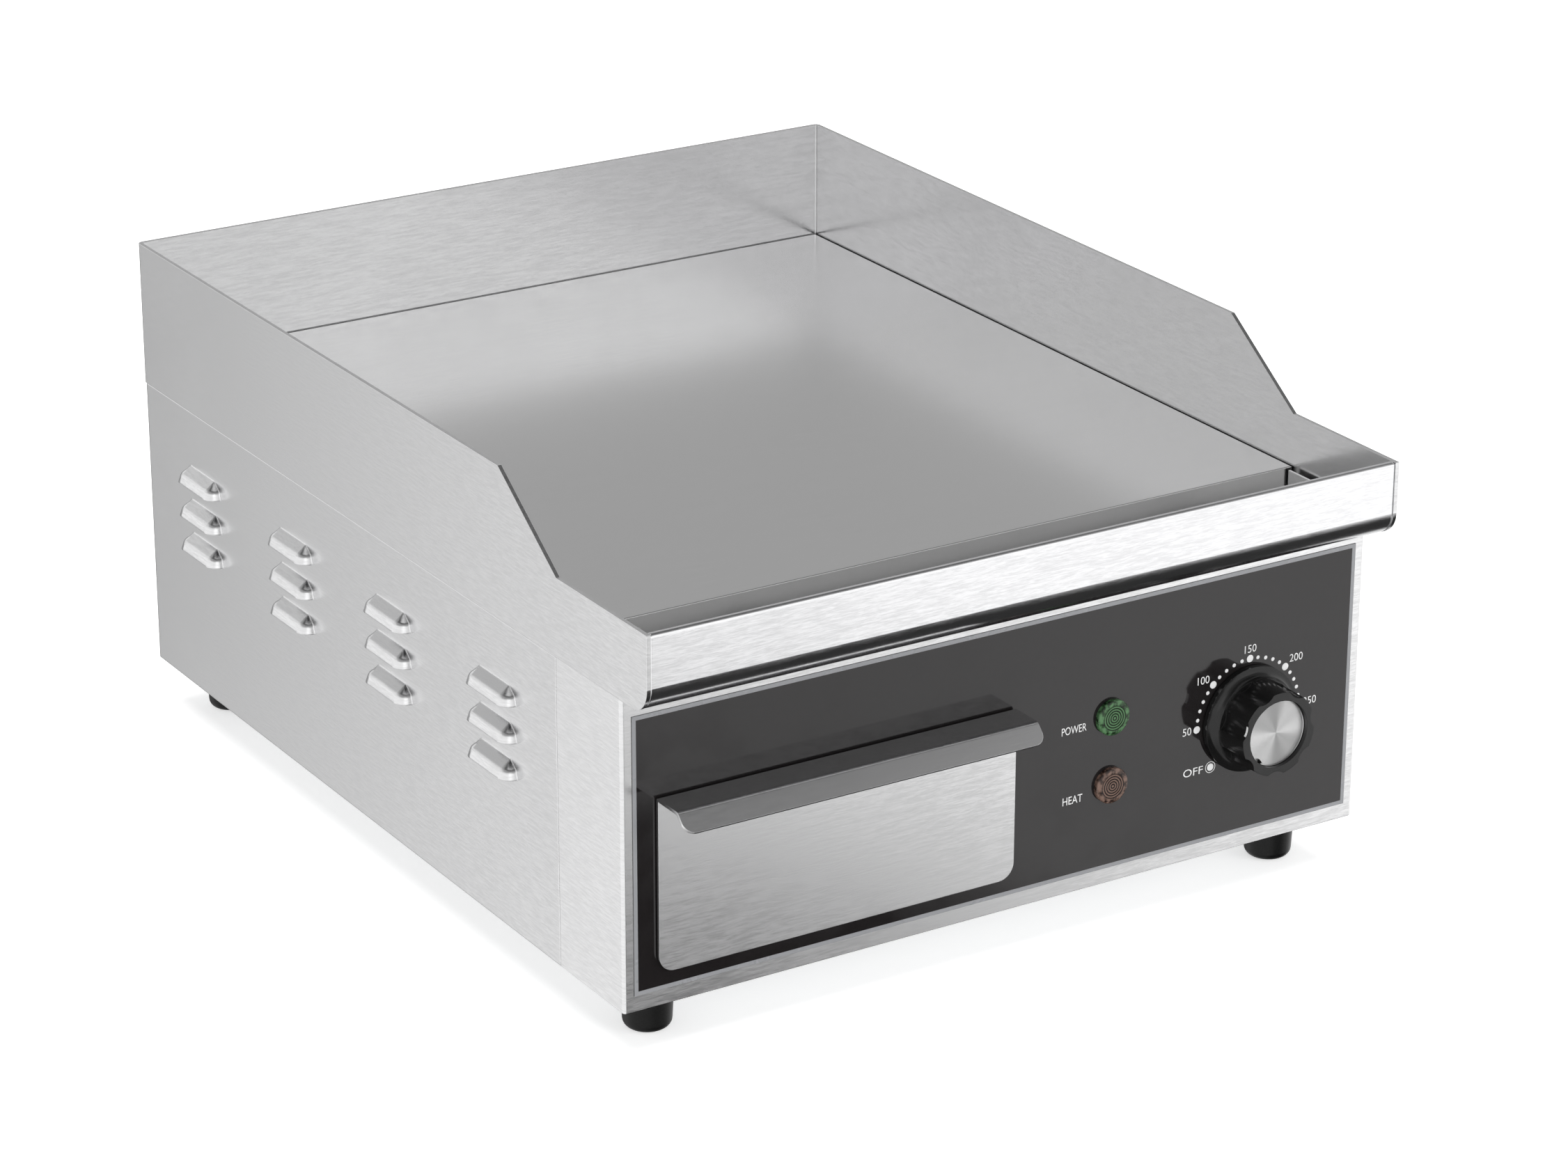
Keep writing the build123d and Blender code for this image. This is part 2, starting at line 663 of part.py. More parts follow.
# ---------------------------------------------------------------- drawer runners and housing
runner_top_z = pan_low_z - runner_gap
runner_w = 16.0
runner_y = (panel_back_y + 2.0, at_y(pan_depth) + 6.0)
runner_low_z = base_z + shell_t
for side_name, edge_x, side in (("left", pan_x[0], 1), ("right", pan_x[1], -1)):
    with BuildPart() as drawer_runner:
        post_x = edge_x + side * 10.0
        post = sorted((post_x, post_x + side * runner_t))
        top = sorted((post_x, post_x + side * runner_w))
        y_front = runner_y[0] + shell_t
        block(post, (y_front, runner_y[1]), (runner_low_z, runner_top_z))
        block(top, (y_front, runner_y[1]), (runner_top_z - runner_t, runner_top_z))
        block(top, (y_front, runner_y[1]), (runner_low_z, runner_low_z + runner_t))
    save(drawer_runner, f"drawer_runner_{side_name}")

housing_gap = 4.0
housing_x = (pan_x[0] - housing_gap, pan_x[1] + housing_gap)
housing_y = (panel_back_y, at_y(pan_depth) + 12.0)
housing_top_z = pan_top_z + housing_gap
with BuildPart() as drawer_housing:
    outer_x = (housing_x[0] - trough_t, housing_x[1] + trough_t)
    outer_y = (housing_y[0], housing_y[1] + trough_t)
    low_z = base_z + base_flange + 0.5
    block(outer_x, outer_y, (low_z, housing_top_z + trough_t))
    block(housing_x, housing_y, (low_z, housing_top_z), Mode.SUBTRACT)
    hole_z = (housing_top_z, housing_top_z + trough_t)
    bar("Z", (drain_x, at_y(drain_y), 0), drain_r + spout_t + 0.8, hole_z, Mode.SUBTRACT)
    for side, wall_x in ((-1, outer_x[0]), (1, outer_x[1])):
        foot = sorted((wall_x, wall_x + side * 8.0))
        wall = sorted((wall_x, wall_x - side * trough_t))
        y_span = (at_y(front_box_depth + 10), outer_y[1])
        block(wall, y_span, (base_z + shell_t, low_z))
        block(foot, y_span, (base_z + shell_t, base_z + shell_t + trough_t))
save(drawer_housing, "drawer_housing")

# ---------------------------------------------------------------- thermostat
body_half = 18.0
thermostat_y = (panel_back_y, at_y(34.0))
bush_r = 4.8
with BuildPart() as thermostat_body:
    width = (knob_x - body_half, knob_x + body_half)
    height = (knob_axis_z - body_half, knob_axis_z + body_half)
    block(width, (thermostat_y[0] + 1.5, thermostat_y[1]), height)
    block((width[0] - 3, width[1] + 3), (thermostat_y[0], thermostat_y[0] + 1.5), height)
    fillet(thermostat_body.edges().filter_by(Axis.Y).group_by(Axis.X)[0], 3.0)
    fillet(thermostat_body.edges().filter_by(Axis.Y).group_by(Axis.X)[-1], 3.0)
    bar("Y", (knob_x, 0, knob_axis_z), bush_r, (face_y - 0.5, thermostat_y[0]))
    bore_r = shaft_r + shaft_fit
    bar("Y", (knob_x, 0, knob_axis_z), bore_r, (face_y - 0.5, at_y(24.0)), Mode.SUBTRACT)
    for screw_x in thermostat_screw_x:
        depth = (thermostat_y[0], at_y(12.0))
        bar("Y", (screw_x, 0, knob_axis_z), m4_r + 0.05, depth, Mode.SUBTRACT)
    for terminal_x in (knob_x - 10, knob_x, knob_x + 10):
        tab_x = (terminal_x - 3.2, terminal_x + 3.2)
        tab_y = (thermostat_y[1], thermostat_y[1] + 8)
        block(tab_x, tab_y, (knob_axis_z - 9, knob_axis_z - 8.2))
save(thermostat_body, "thermostat_body")

with BuildPart() as thermostat_screws:
    for screw_x in thermostat_screw_x:
        bar("Y", (screw_x, 0, knob_axis_z), m4_r, (face_y, at_y(10.0)))
        bar("Y", (screw_x, 0, knob_axis_z), m4_head_r, (face_y - m4_head_h, face_y))
        head = (face_y - m4_head_h, face_y - m4_head_h + 1.2)
        block((screw_x - 2.6, screw_x + 2.6), head, (knob_axis_z - 0.4, knob_axis_z + 0.4), Mode.SUBTRACT)
save(thermostat_screws, "thermostat_screws")

with BuildPart() as thermostat_shaft:
    shaft_span = (face_y - shaft_outer_end, at_y(23.0))
    bar("Y", (knob_x, 0, knob_axis_z), shaft_r, shaft_span)
    flat_y = (face_y - shaft_outer_end, face_y - 3.0)
    block((knob_x - 4, knob_x + 4), flat_y, (knob_axis_z + shaft_flat, knob_axis_z + 4), Mode.SUBTRACT)
save(thermostat_shaft, "thermostat_shaft")

# ---------------------------------------------------------------- knob
knob_section = Plane((knob_x, face_y, knob_axis_z), x_dir=(1, 0, 0), z_dir=(0, 0, -1))
knob_front = Plane((knob_x, face_y, knob_axis_z), x_dir=(1, 0, 0), z_dir=(0, -1, 0))
knob_axis = Axis((knob_x, face_y, knob_axis_z), (0, -1, 0))
cap_seat = knob_height - cap_recess - cap_t
hub_r = 7.0
cavity_r = knob_skirt_r - knob_wall
cavity_h = 8.0
with BuildPart() as knob:
    with BuildSketch(knob_section):
        with BuildLine():
            flare_mid = (
                knob_skirt_r - 0.78 * (knob_skirt_r - knob_grip_r),
                knob_base + knob_skirt_h + 0.40 * (knob_flare_h - knob_base - knob_skirt_h),
            )
            Polyline(
                (cap_r + cap_gap, knob_height),
                (cap_r + cap_gap, cap_seat),
                (0, cap_seat),
                (0, knob_base + 1.0),
                (hub_r, knob_base + 1.0),
                (hub_r, cavity_h),
                (knob_grip_r - knob_wall - 2.0, cavity_h),
                (cavity_r, knob_base + knob_skirt_h - 1.0),
                (cavity_r, knob_base),
                (knob_skirt_r, knob_base),
                (knob_skirt_r, knob_base + knob_skirt_h),
            )
            ThreePointArc((knob_skirt_r, knob_base + knob_skirt_h), flare_mid, (knob_grip_r, knob_flare_h))
            Line((knob_grip_r, knob_flare_h), (knob_face_r, knob_height))
            Line((knob_face_r, knob_height), (cap_r + cap_gap, knob_height))
        make_face()
    revolve(axis=knob_axis)
    with BuildSketch(knob_front.offset(flute_end)):
        flute_centre = knob_face_r - flute_depth + flute_r
        with PolarLocations(flute_centre, flute_count, start_angle=90 - flute_first):
            Circle(flute_r)
    extrude(amount=knob_height, mode=Mode.SUBTRACT)
    with BuildSketch(knob_front):
        Circle(shaft_r + 0.03)
        with Locations((0, shaft_flat + 0.03 + 5)):
            Rectangle(20, 10, mode=Mode.SUBTRACT)
    extrude(amount=shaft_outer_end + 0.5, mode=Mode.SUBTRACT)
    with BuildSketch(knob_front):
        Circle(shaft_r + 0.03)
    extrude(amount=3.0, mode=Mode.SUBTRACT)
save(knob, "knob")

with BuildPart() as knob_cap:
    with BuildSketch(knob_front.offset(cap_seat)):
        Circle(cap_r)
    extrude(amount=cap_t)
    fillet(knob_cap.edges().group_by(Axis.Y)[0], 0.3)
save(knob_cap, "knob_cap")

# ---------------------------------------------------------------- pilot lamps
clip_outer_r = 9.0
clip_t = 1.5
for lamp_name, lamp_z in lamp_spots.items():
    with BuildPart() as lamp_lens:
        bar("Y", (lamp_x, 0, lamp_z), lens_r, (face_y - film_t - lens_h, face_y - film_t))
        fillet(lamp_lens.edges().group_by(Axis.Y)[0], 1.0)
    save(lamp_lens, f"{lamp_name}_lamp_lens")
    with BuildPart() as lamp_body:
        bar("Y", (lamp_x, 0, lamp_z), lamp_body_r, (face_y - film_t, at_y(lamp_depth)))
        for tab_x in (lamp_x - 3.0, lamp_x + 3.0):
            tab_y = (at_y(lamp_depth), at_y(lamp_depth + 8.0))
            block((tab_x - 0.4, tab_x + 0.4), tab_y, (lamp_z - 3.0, lamp_z + 3.0))
    save(lamp_body, f"{lamp_name}_lamp_body")

with BuildPart() as lamp_clips:
    for lamp_z in lamp_spots.values():
        clip_y = (panel_back_y, panel_back_y + clip_t)
        bar("Y", (lamp_x, 0, lamp_z), clip_outer_r, clip_y)
        bar("Y", (lamp_x, 0, lamp_z), lamp_body_r + 0.1, clip_y, Mode.SUBTRACT)
save(lamp_clips, "lamp_clips")

# ---------------------------------------------------------------- temperature bulbs
bulb_r = 2.5
bulb_length = 90.0
bulb_z = plate_low_z - bulb_r - 0.2
bulb_y = clamp_ys[0] + clamp_bar_w / 2 + 6.0
capillary_r = 0.9
capillary_bend = 6.0
thermostat_bulb_x = 21.5
cutout_bulb_x = -53.5
cutout_x = (40.0, 76.0)
cutout_y = (at_y(72.0), at_y(96.0))
cutout_z = (base_z + 40.0, base_z + 72.0)
thermostat_rise_y = at_y(trough_rear + 2.2)
cutout_rise_y = at_y(trough_rear + 5.2)
over_housing_z = seam_z - 48.0
for bulb_name, bulb_x in (("thermostat_bulb", thermostat_bulb_x), ("cutout_bulb", cutout_bulb_x)):
    with BuildPart() as probe_bulb:
        bar("Y", (bulb_x, 0, bulb_z), bulb_r, (bulb_y, bulb_y + bulb_length))
        fillet(probe_bulb.edges().filter_by(GeomType.CIRCLE), 1.0)
    save(probe_bulb, bulb_name)

with BuildPart() as thermostat_capillary:
    with BuildLine() as capillary_path:
        FilletPolyline(
            (knob_x - 12.0, at_y(34.0), knob_axis_z + 6.0),
            (knob_x - 12.0, thermostat_rise_y, knob_axis_z + 6.0),
            (thermostat_bulb_x, thermostat_rise_y, over_housing_z - 4.0),
            (thermostat_bulb_x, thermostat_rise_y, bulb_z),
            (thermostat_bulb_x, bulb_y, bulb_z),
            radius=capillary_bend,
        )
    with BuildSketch(Plane((knob_x - 12.0, at_y(34.0), knob_axis_z + 6.0), z_dir=(0, 1, 0))):
        Circle(capillary_r)
    sweep(path=capillary_path.line)
save(thermostat_capillary, "thermostat_capillary")

with BuildPart() as cutout_capillary:
    with BuildLine() as capillary_path:
        FilletPolyline(
            (cutout_x[0], at_y(84.0), base_z + 62.0),
            (cutout_x[0] - 9.0, at_y(84.0), base_z + 62.0),
            (cutout_x[0] - 9.0, cutout_rise_y, over_housing_z),
            (cutout_bulb_x, cutout_rise_y, over_housing_z),
            (cutout_bulb_x, cutout_rise_y, bulb_z),
            (cutout_bulb_x, bulb_y, bulb_z),
            radius=4.0,
        )
    with BuildSketch(Plane((cutout_x[0], at_y(84.0), base_z + 62.0), z_dir=(-1, 0, 0))):
        Circle(capillary_r)
    sweep(path=capillary_path.line)
save(cutout_capillary, "cutout_capillary")

# ---------------------------------------------------------------- thermal cut-out, terminals and wiring
with BuildPart() as cutout_bracket:
    bracket_x = (cutout_x[0] - 4, cutout_x[1] + 4)
    block(bracket_x, (cutout_y[0] - shell_t, cutout_y[0]), (base_z + shell_t, cutout_z[1]))
    block(bracket_x, (cutout_y[0], cutout_y[0] + 22), (base_z + shell_t, base_z + 2 * shell_t))
save(cutout_bracket, "cutout_bracket")

with BuildPart() as safety_cutout:
    block(cutout_x, cutout_y, cutout_z)
    fillet(safety_cutout.edges().filter_by(Axis.Y), 3.0)
    reset = ((cutout_x[0] + cutout_x[1]) / 2, 0, (cutout_z[0] + cutout_z[1]) / 2)
    bar("Y", reset, 4.0, (cutout_y[1], cutout_y[1] + 6.0))
save(safety_cutout, "safety_cutout")

block_x = (gland_x - 32.0, gland_x + 12.0)
block_y = (rear_y - 82.0, rear_y - 60.0)
block_z = (base_z + shell_t, base_z + shell_t + 24.0)
with BuildPart() as terminal_block:
    block(block_x, block_y, block_z)
    with BuildSketch(Plane.XY.offset(block_z[1])):
        with Locations(((block_x[0] + block_x[1]) / 2, (block_y[0] + block_y[1]) / 2)):
            with GridLocations(11.0, 12.0, 4, 2):
                Circle(3.2)
    extrude(amount=-9.0, mode=Mode.SUBTRACT)
save(terminal_block, "terminal_block")

loom_x = 140.0
loom_r = 3.0
loom_z = base_z + 12.0
with BuildPart() as wiring_loom:
    with BuildLine() as loom_path:
        FilletPolyline(
            (loom_x, block_y[0], loom_z),
            (loom_x, at_y(52.0), loom_z),
            (loom_x, at_y(52.0), knob_axis_z - 14.0),
            radius=12.0,
        )
    with BuildSketch(Plane((loom_x, block_y[0], loom_z), z_dir=(0, -1, 0))):
        Circle(loom_r)
    sweep(path=loom_path.line)
save(wiring_loom, "wiring_loom")

# ---------------------------------------------------------------- supply gland and bonding stud
gland_centre = (gland_x, 0, base_z + gland_z)
gland_inner_y = rear_y - shell_t - 9.0
collar_y = (rear_y, rear_y + 5.0)
with BuildPart() as cable_gland:
    bar("Y", gland_centre, gland_thread_r, (gland_inner_y, rear_y + 12.0))
    hexagon("Y", gland_centre, 22.0, collar_y)
    bar("Y", gland_centre, gland_bore_r, (gland_inner_y, rear_y + 12.0), Mode.SUBTRACT)
save(cable_gland, "cable_gland")

with BuildPart() as gland_cap_nut:
    hexagon("Y", gland_centre, 20.0, (collar_y[1], rear_y + gland_reach - 5.0))
    bar("Y", gland_centre, 9.2, (rear_y + gland_reach - 5.0, rear_y + gland_reach))
    fillet(gland_cap_nut.edges().group_by(Axis.Y)[-1], 2.5)
    bar("Y", gland_centre, gland_thread_r + 0.05, (collar_y[1], rear_y + 12.0), Mode.SUBTRACT)
    bar("Y", gland_centre, gland_bore_r, (rear_y + 12.0, rear_y + gland_reach), Mode.SUBTRACT)
save(gland_cap_nut, "gland_cap_nut")

with BuildPart() as gland_locknut:
    nut_y = (rear_y - shell_t - 5.0, rear_y - shell_t)
    hexagon("Y", gland_centre, 22.0, nut_y)
    bar("Y", gland_centre, gland_thread_r + 0.05, nut_y, Mode.SUBTRACT)
save(gland_locknut, "gland_locknut")

bond_centre = (bond_x, 0, base_z + bond_z)
with BuildPart() as bonding_stud:
    shank_end = rear_y + m6_nut_h
    bar("Y", bond_centre, bond_shank_r, (rear_y - shell_t - m6_nut_h - 2.0, shank_end))
    bar("Y", bond_centre, m6_r, (shank_end, rear_y + bond_length))
    chamfer(bonding_stud.edges().group_by(Axis.Y)[-1], 0.5)
save(bonding_stud, "bonding_stud")

with BuildPart() as bonding_nuts:
    for nut_y in ((rear_y - shell_t - m6_nut_h, rear_y - shell_t), (rear_y, rear_y + m6_nut_h)):
        hexagon("Y", bond_centre, m6_nut_across, nut_y)
        bar("Y", bond_centre, bond_shank_r + 0.05, nut_y, Mode.SUBTRACT)
save(bonding_nuts, "bonding_nuts")

# ---------------------------------------------------------------- feet
foot_bore_h = 9.0
for foot_name, foot_x, foot_y in foot_spots:
    with BuildPart() as foot:
        with BuildSketch(Plane((foot_x, foot_y, 0), x_dir=(1, 0, 0), z_dir=(0, -1, 0))):
            with BuildLine():
                Polyline(
                    (0, 0),
                    (foot_low_r - foot_edge_r, 0),
                )
                ThreePointArc(
                    (foot_low_r - foot_edge_r, 0),
                    (
                        foot_low_r - foot_edge_r * (1 - math.sin(math.radians(45))),
                        foot_edge_r * (1 - math.cos(math.radians(45))),
                    ),
                    (foot_low_r, foot_edge_r),
                )
                Polyline((foot_low_r, foot_edge_r), (foot_top_r, foot_height), (0, foot_height), (0, 0))
            make_face()
        revolve(axis=Axis((foot_x, foot_y, 0), (0, 0, 1)))
        bar("Z", (foot_x, foot_y, 0), m6_head_r + 0.5, (0, foot_bore_h), Mode.SUBTRACT)
        bar("Z", (foot_x, foot_y, 0), m6_r + 0.1, (foot_bore_h, foot_height), Mode.SUBTRACT)
    save(foot, f"foot_{foot_name}")

with BuildPart() as foot_screws:
    for _, foot_x, foot_y in foot_spots:
        bar("Z", (foot_x, foot_y, 0), m6_r, (foot_bore_h, base_z + shell_t + m6_nut_h + 2.0))
        bar("Z", (foot_x, foot_y, 0), m6_head_r, (foot_bore_h - m6_head_h, foot_bore_h))
save(foot_screws, "foot_screws")

with BuildPart() as foot_nuts:
    nut_z = (base_z + shell_t, base_z + shell_t + m6_nut_h)
    for _, foot_x, foot_y in foot_spots:
        hexagon("Z", (foot_x, foot_y, 0), m6_nut_across, nut_z)
        bar("Z", (foot_x, foot_y, 0), m6_r + 0.05, nut_z, Mode.SUBTRACT)
save(foot_nuts, "foot_nuts")

# ---------------------------------------------------------------- rear panel screws
with BuildPart() as rear_panel_screws:
    for side in (-1, 1):
        for screw_z in rear_screw_zs:
            spot = (side * rear_screw_x, 0, screw_z)
            bar("Y", spot, m4_r, (rear_y - 9.0, rear_y))
            bar("Y", spot, m4_head_r, (rear_y, rear_y + m4_head_h))
            slot_y = (rear_y + m4_head_h - 1.2, rear_y + m4_head_h)
            block((spot[0] - 2.6, spot[0] + 2.6), slot_y, (screw_z - 0.4, screw_z + 0.4), Mode.SUBTRACT)
save(rear_panel_screws, "rear_panel_screws")
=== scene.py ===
"""Looks of an electric flat top griddle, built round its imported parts.

Lengths are in metres.  X runs to the user's right, Y from the control panel to
the back and Z up, with the origin on the worktop under the middle of the griddle.
"""

import json
import logging
import math
from collections.abc import Callable, Iterator, Sequence
from contextlib import contextmanager
from dataclasses import dataclass
from enum import Enum
from typing import ClassVar

import bmesh
import bpy
from mathutils import Matrix, Vector

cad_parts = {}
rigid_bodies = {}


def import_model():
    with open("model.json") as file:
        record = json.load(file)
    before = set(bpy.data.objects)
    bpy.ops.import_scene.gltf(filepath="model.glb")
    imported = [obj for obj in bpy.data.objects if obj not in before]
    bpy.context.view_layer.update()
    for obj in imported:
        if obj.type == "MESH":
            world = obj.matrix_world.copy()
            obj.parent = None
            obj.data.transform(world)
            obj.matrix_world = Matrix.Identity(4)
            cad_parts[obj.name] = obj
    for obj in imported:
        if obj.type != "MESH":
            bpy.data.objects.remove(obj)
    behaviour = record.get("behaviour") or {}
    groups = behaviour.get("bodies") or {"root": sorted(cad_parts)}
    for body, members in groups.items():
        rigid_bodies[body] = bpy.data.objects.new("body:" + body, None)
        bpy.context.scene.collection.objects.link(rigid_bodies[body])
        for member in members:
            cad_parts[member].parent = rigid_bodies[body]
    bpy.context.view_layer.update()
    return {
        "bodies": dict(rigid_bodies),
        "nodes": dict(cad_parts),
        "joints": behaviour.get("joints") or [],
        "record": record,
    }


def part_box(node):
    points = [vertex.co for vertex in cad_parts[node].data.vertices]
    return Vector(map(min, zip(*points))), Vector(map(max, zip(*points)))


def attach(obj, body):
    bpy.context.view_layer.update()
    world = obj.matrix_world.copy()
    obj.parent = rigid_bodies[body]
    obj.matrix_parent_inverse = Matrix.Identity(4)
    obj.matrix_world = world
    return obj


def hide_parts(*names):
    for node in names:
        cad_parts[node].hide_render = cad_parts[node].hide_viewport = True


LOG = logging.getLogger("griddle")
MM = 0.001
NEAR = 0.01 * MM  # slack when parts of a mesh are picked by their place
MERGE = 1e-6  # points closer than this become one
BEVEL_SAMPLES = 4  # rays of each rounded-edge node
SINE_CREST = 0.25  # where a sine wave is highest, as a share of its period
QUARTER = math.pi / 2

Colour = tuple[float, float, float]


def grey(level: float) -> Colour:
    """Give a neutral colour."""
    return (level, level, level)


# ------------------------------------------------------------------ shader trees
class Graph:
    """A shader tree that is filled in node by node."""

    def __init__(self, tree: bpy.types.NodeTree) -> None:
        """Wrap a tree.

        Args:
            tree: The node tree to fill.
        """
        self.tree = tree

    def add(self, kind: str, settings: dict | None = None, **inputs: object) -> bpy.types.Node:
        """Add a node, set its properties, and fill or link its inputs.

        Args:
            kind: Blender's name of the node type.
            settings: Properties of the node itself.
            **inputs: Socket names, with "_" for a space, and a value or a socket to link.

        Returns:
            The new node.
        """
        node = self.tree.nodes.new(kind)
        for name, value in (settings or {}).items():
            setattr(node, name, value)
        for name, value in inputs.items():
            self.feed(node.inputs[name.replace("_", " ")], value)
        return node

    def feed(self, socket: bpy.types.NodeSocket, value: object) -> None:
        """Link a socket to another, or give it a plain value.

        Args:
            socket: The input to fill.
            value: An output socket, or a number, vector or colour.
        """
        if isinstance(value, bpy.types.NodeSocket):
            self.tree.links.new(value, socket)
        elif socket.type == "RGBA" and len(value) == 3:
            socket.default_value = (*value, 1.0)
        else:
            socket.default_value = value

    def calc(self, operation: str, *values: object) -> bpy.types.NodeSocket:
        """Add a Math node.

        Args:
            operation: Blender's name of the operation.
            *values: Its inputs in order.

        Returns:
            The result.
        """
        node = self.add("ShaderNodeMath", {"operation": operation})
        for socket, value in zip(node.inputs, values):
            self.feed(socket, value)
        return node.outputs[0]

    def weigh(self, first: object, share: float, second: object, other: float) -> bpy.types.NodeSocket:
        """Add two masks, each times its own share.

        Args:
            first: The first mask.
            share: Its share.
            second: The second mask.
            other: Its share.

        Returns:
            The sum.
        """
        return self.calc("ADD", self.calc("MULTIPLY", first, share), self.calc("MULTIPLY", second, other))

    def group(self, tree: bpy.types.NodeTree, **inputs: object) -> bpy.types.Node:
        """Add a node group with its inputs."""
        return self.add("ShaderNodeGroup", {"node_tree": tree}, **inputs)

    def round_off(self, radius: float) -> bpy.types.NodeSocket:
        """Give the surface normal with its edges rounded to a radius."""
        return self.add("ShaderNodeBevel", {"samples": BEVEL_SAMPLES}, Radius=radius).outputs[0]

    def spread(
        self, value: object, low: float, high: float, span: tuple[float, float] = (0.0, 1.0)
    ) -> bpy.types.NodeSocket:
        """Stretch a mask over a range.

        Args:
            value: The mask.
            low: Result at the start of the span.
            high: Result at its end.
            span: The part of the mask that is stretched.

        Returns:
            The stretched value, held inside the range.
        """
        node = self.add("ShaderNodeMapRange", {"interpolation_type": "SMOOTHSTEP"})
        for socket, given in zip(node.inputs, (value, *span, low, high)):
            self.feed(socket, given)
        return node.outputs["Result"]

    def blend(self, factor: object, first: object, second: object) -> bpy.types.NodeSocket:
        """Mix two colours.

        Args:
            factor: Share of the second colour.
            first: The colour at 0.
            second: The colour at 1.

        Returns:
            The mixed colour.
        """
        node = self.add("ShaderNodeMix", {"data_type": "RGBA", "blend_type": "MIX"})
        for socket, given in zip((node.inputs[0], node.inputs[6], node.inputs[7]), (factor, first, second)):
            self.feed(socket, given)
        return node.outputs[2]

    def place(
        self, scale: Sequence[float] = (1.0, 1.0, 1.0), centre: Sequence[float] = (0.0, 0.0, 0.0)
    ) -> bpy.types.NodeSocket:
        """Give object coordinates, scaled about a centre.

        Args:
            scale: Factor along each axis.
            centre: The point that becomes zero.

        Returns:
            The coordinate vector.
        """
        source = self.add("ShaderNodeTexCoord").outputs["Object"]
        offset = tuple(-c * s for c, s in zip(centre, scale))
        mapped = self.add("ShaderNodeMapping", Vector=source, Location=offset, Scale=tuple(scale))
        return mapped.outputs["Vector"]


def new_group(
    name: str, inputs: dict[str, str], outputs: Sequence[str]
) -> tuple[Graph, bpy.types.Node, bpy.types.Node]:
    """Start a shader node group.

    Args:
        name: The group's name.
        inputs: Socket names with their types, "Float" or "Vector".
        outputs: Names of its number outputs.

    Returns:
        The graph, the group's input node and its output node.
    """
    tree = bpy.data.node_groups.new(name, "ShaderNodeTree")
    for label, kind in inputs.items():
        tree.interface.new_socket(name=label, in_out="INPUT", socket_type=f"NodeSocket{kind}")
    for label in outputs:
        tree.interface.new_socket(name=label, in_out="OUTPUT", socket_type="NodeSocketFloat")
    graph = Graph(tree)
    return graph, graph.add("NodeGroupInput"), graph.add("NodeGroupOutput")


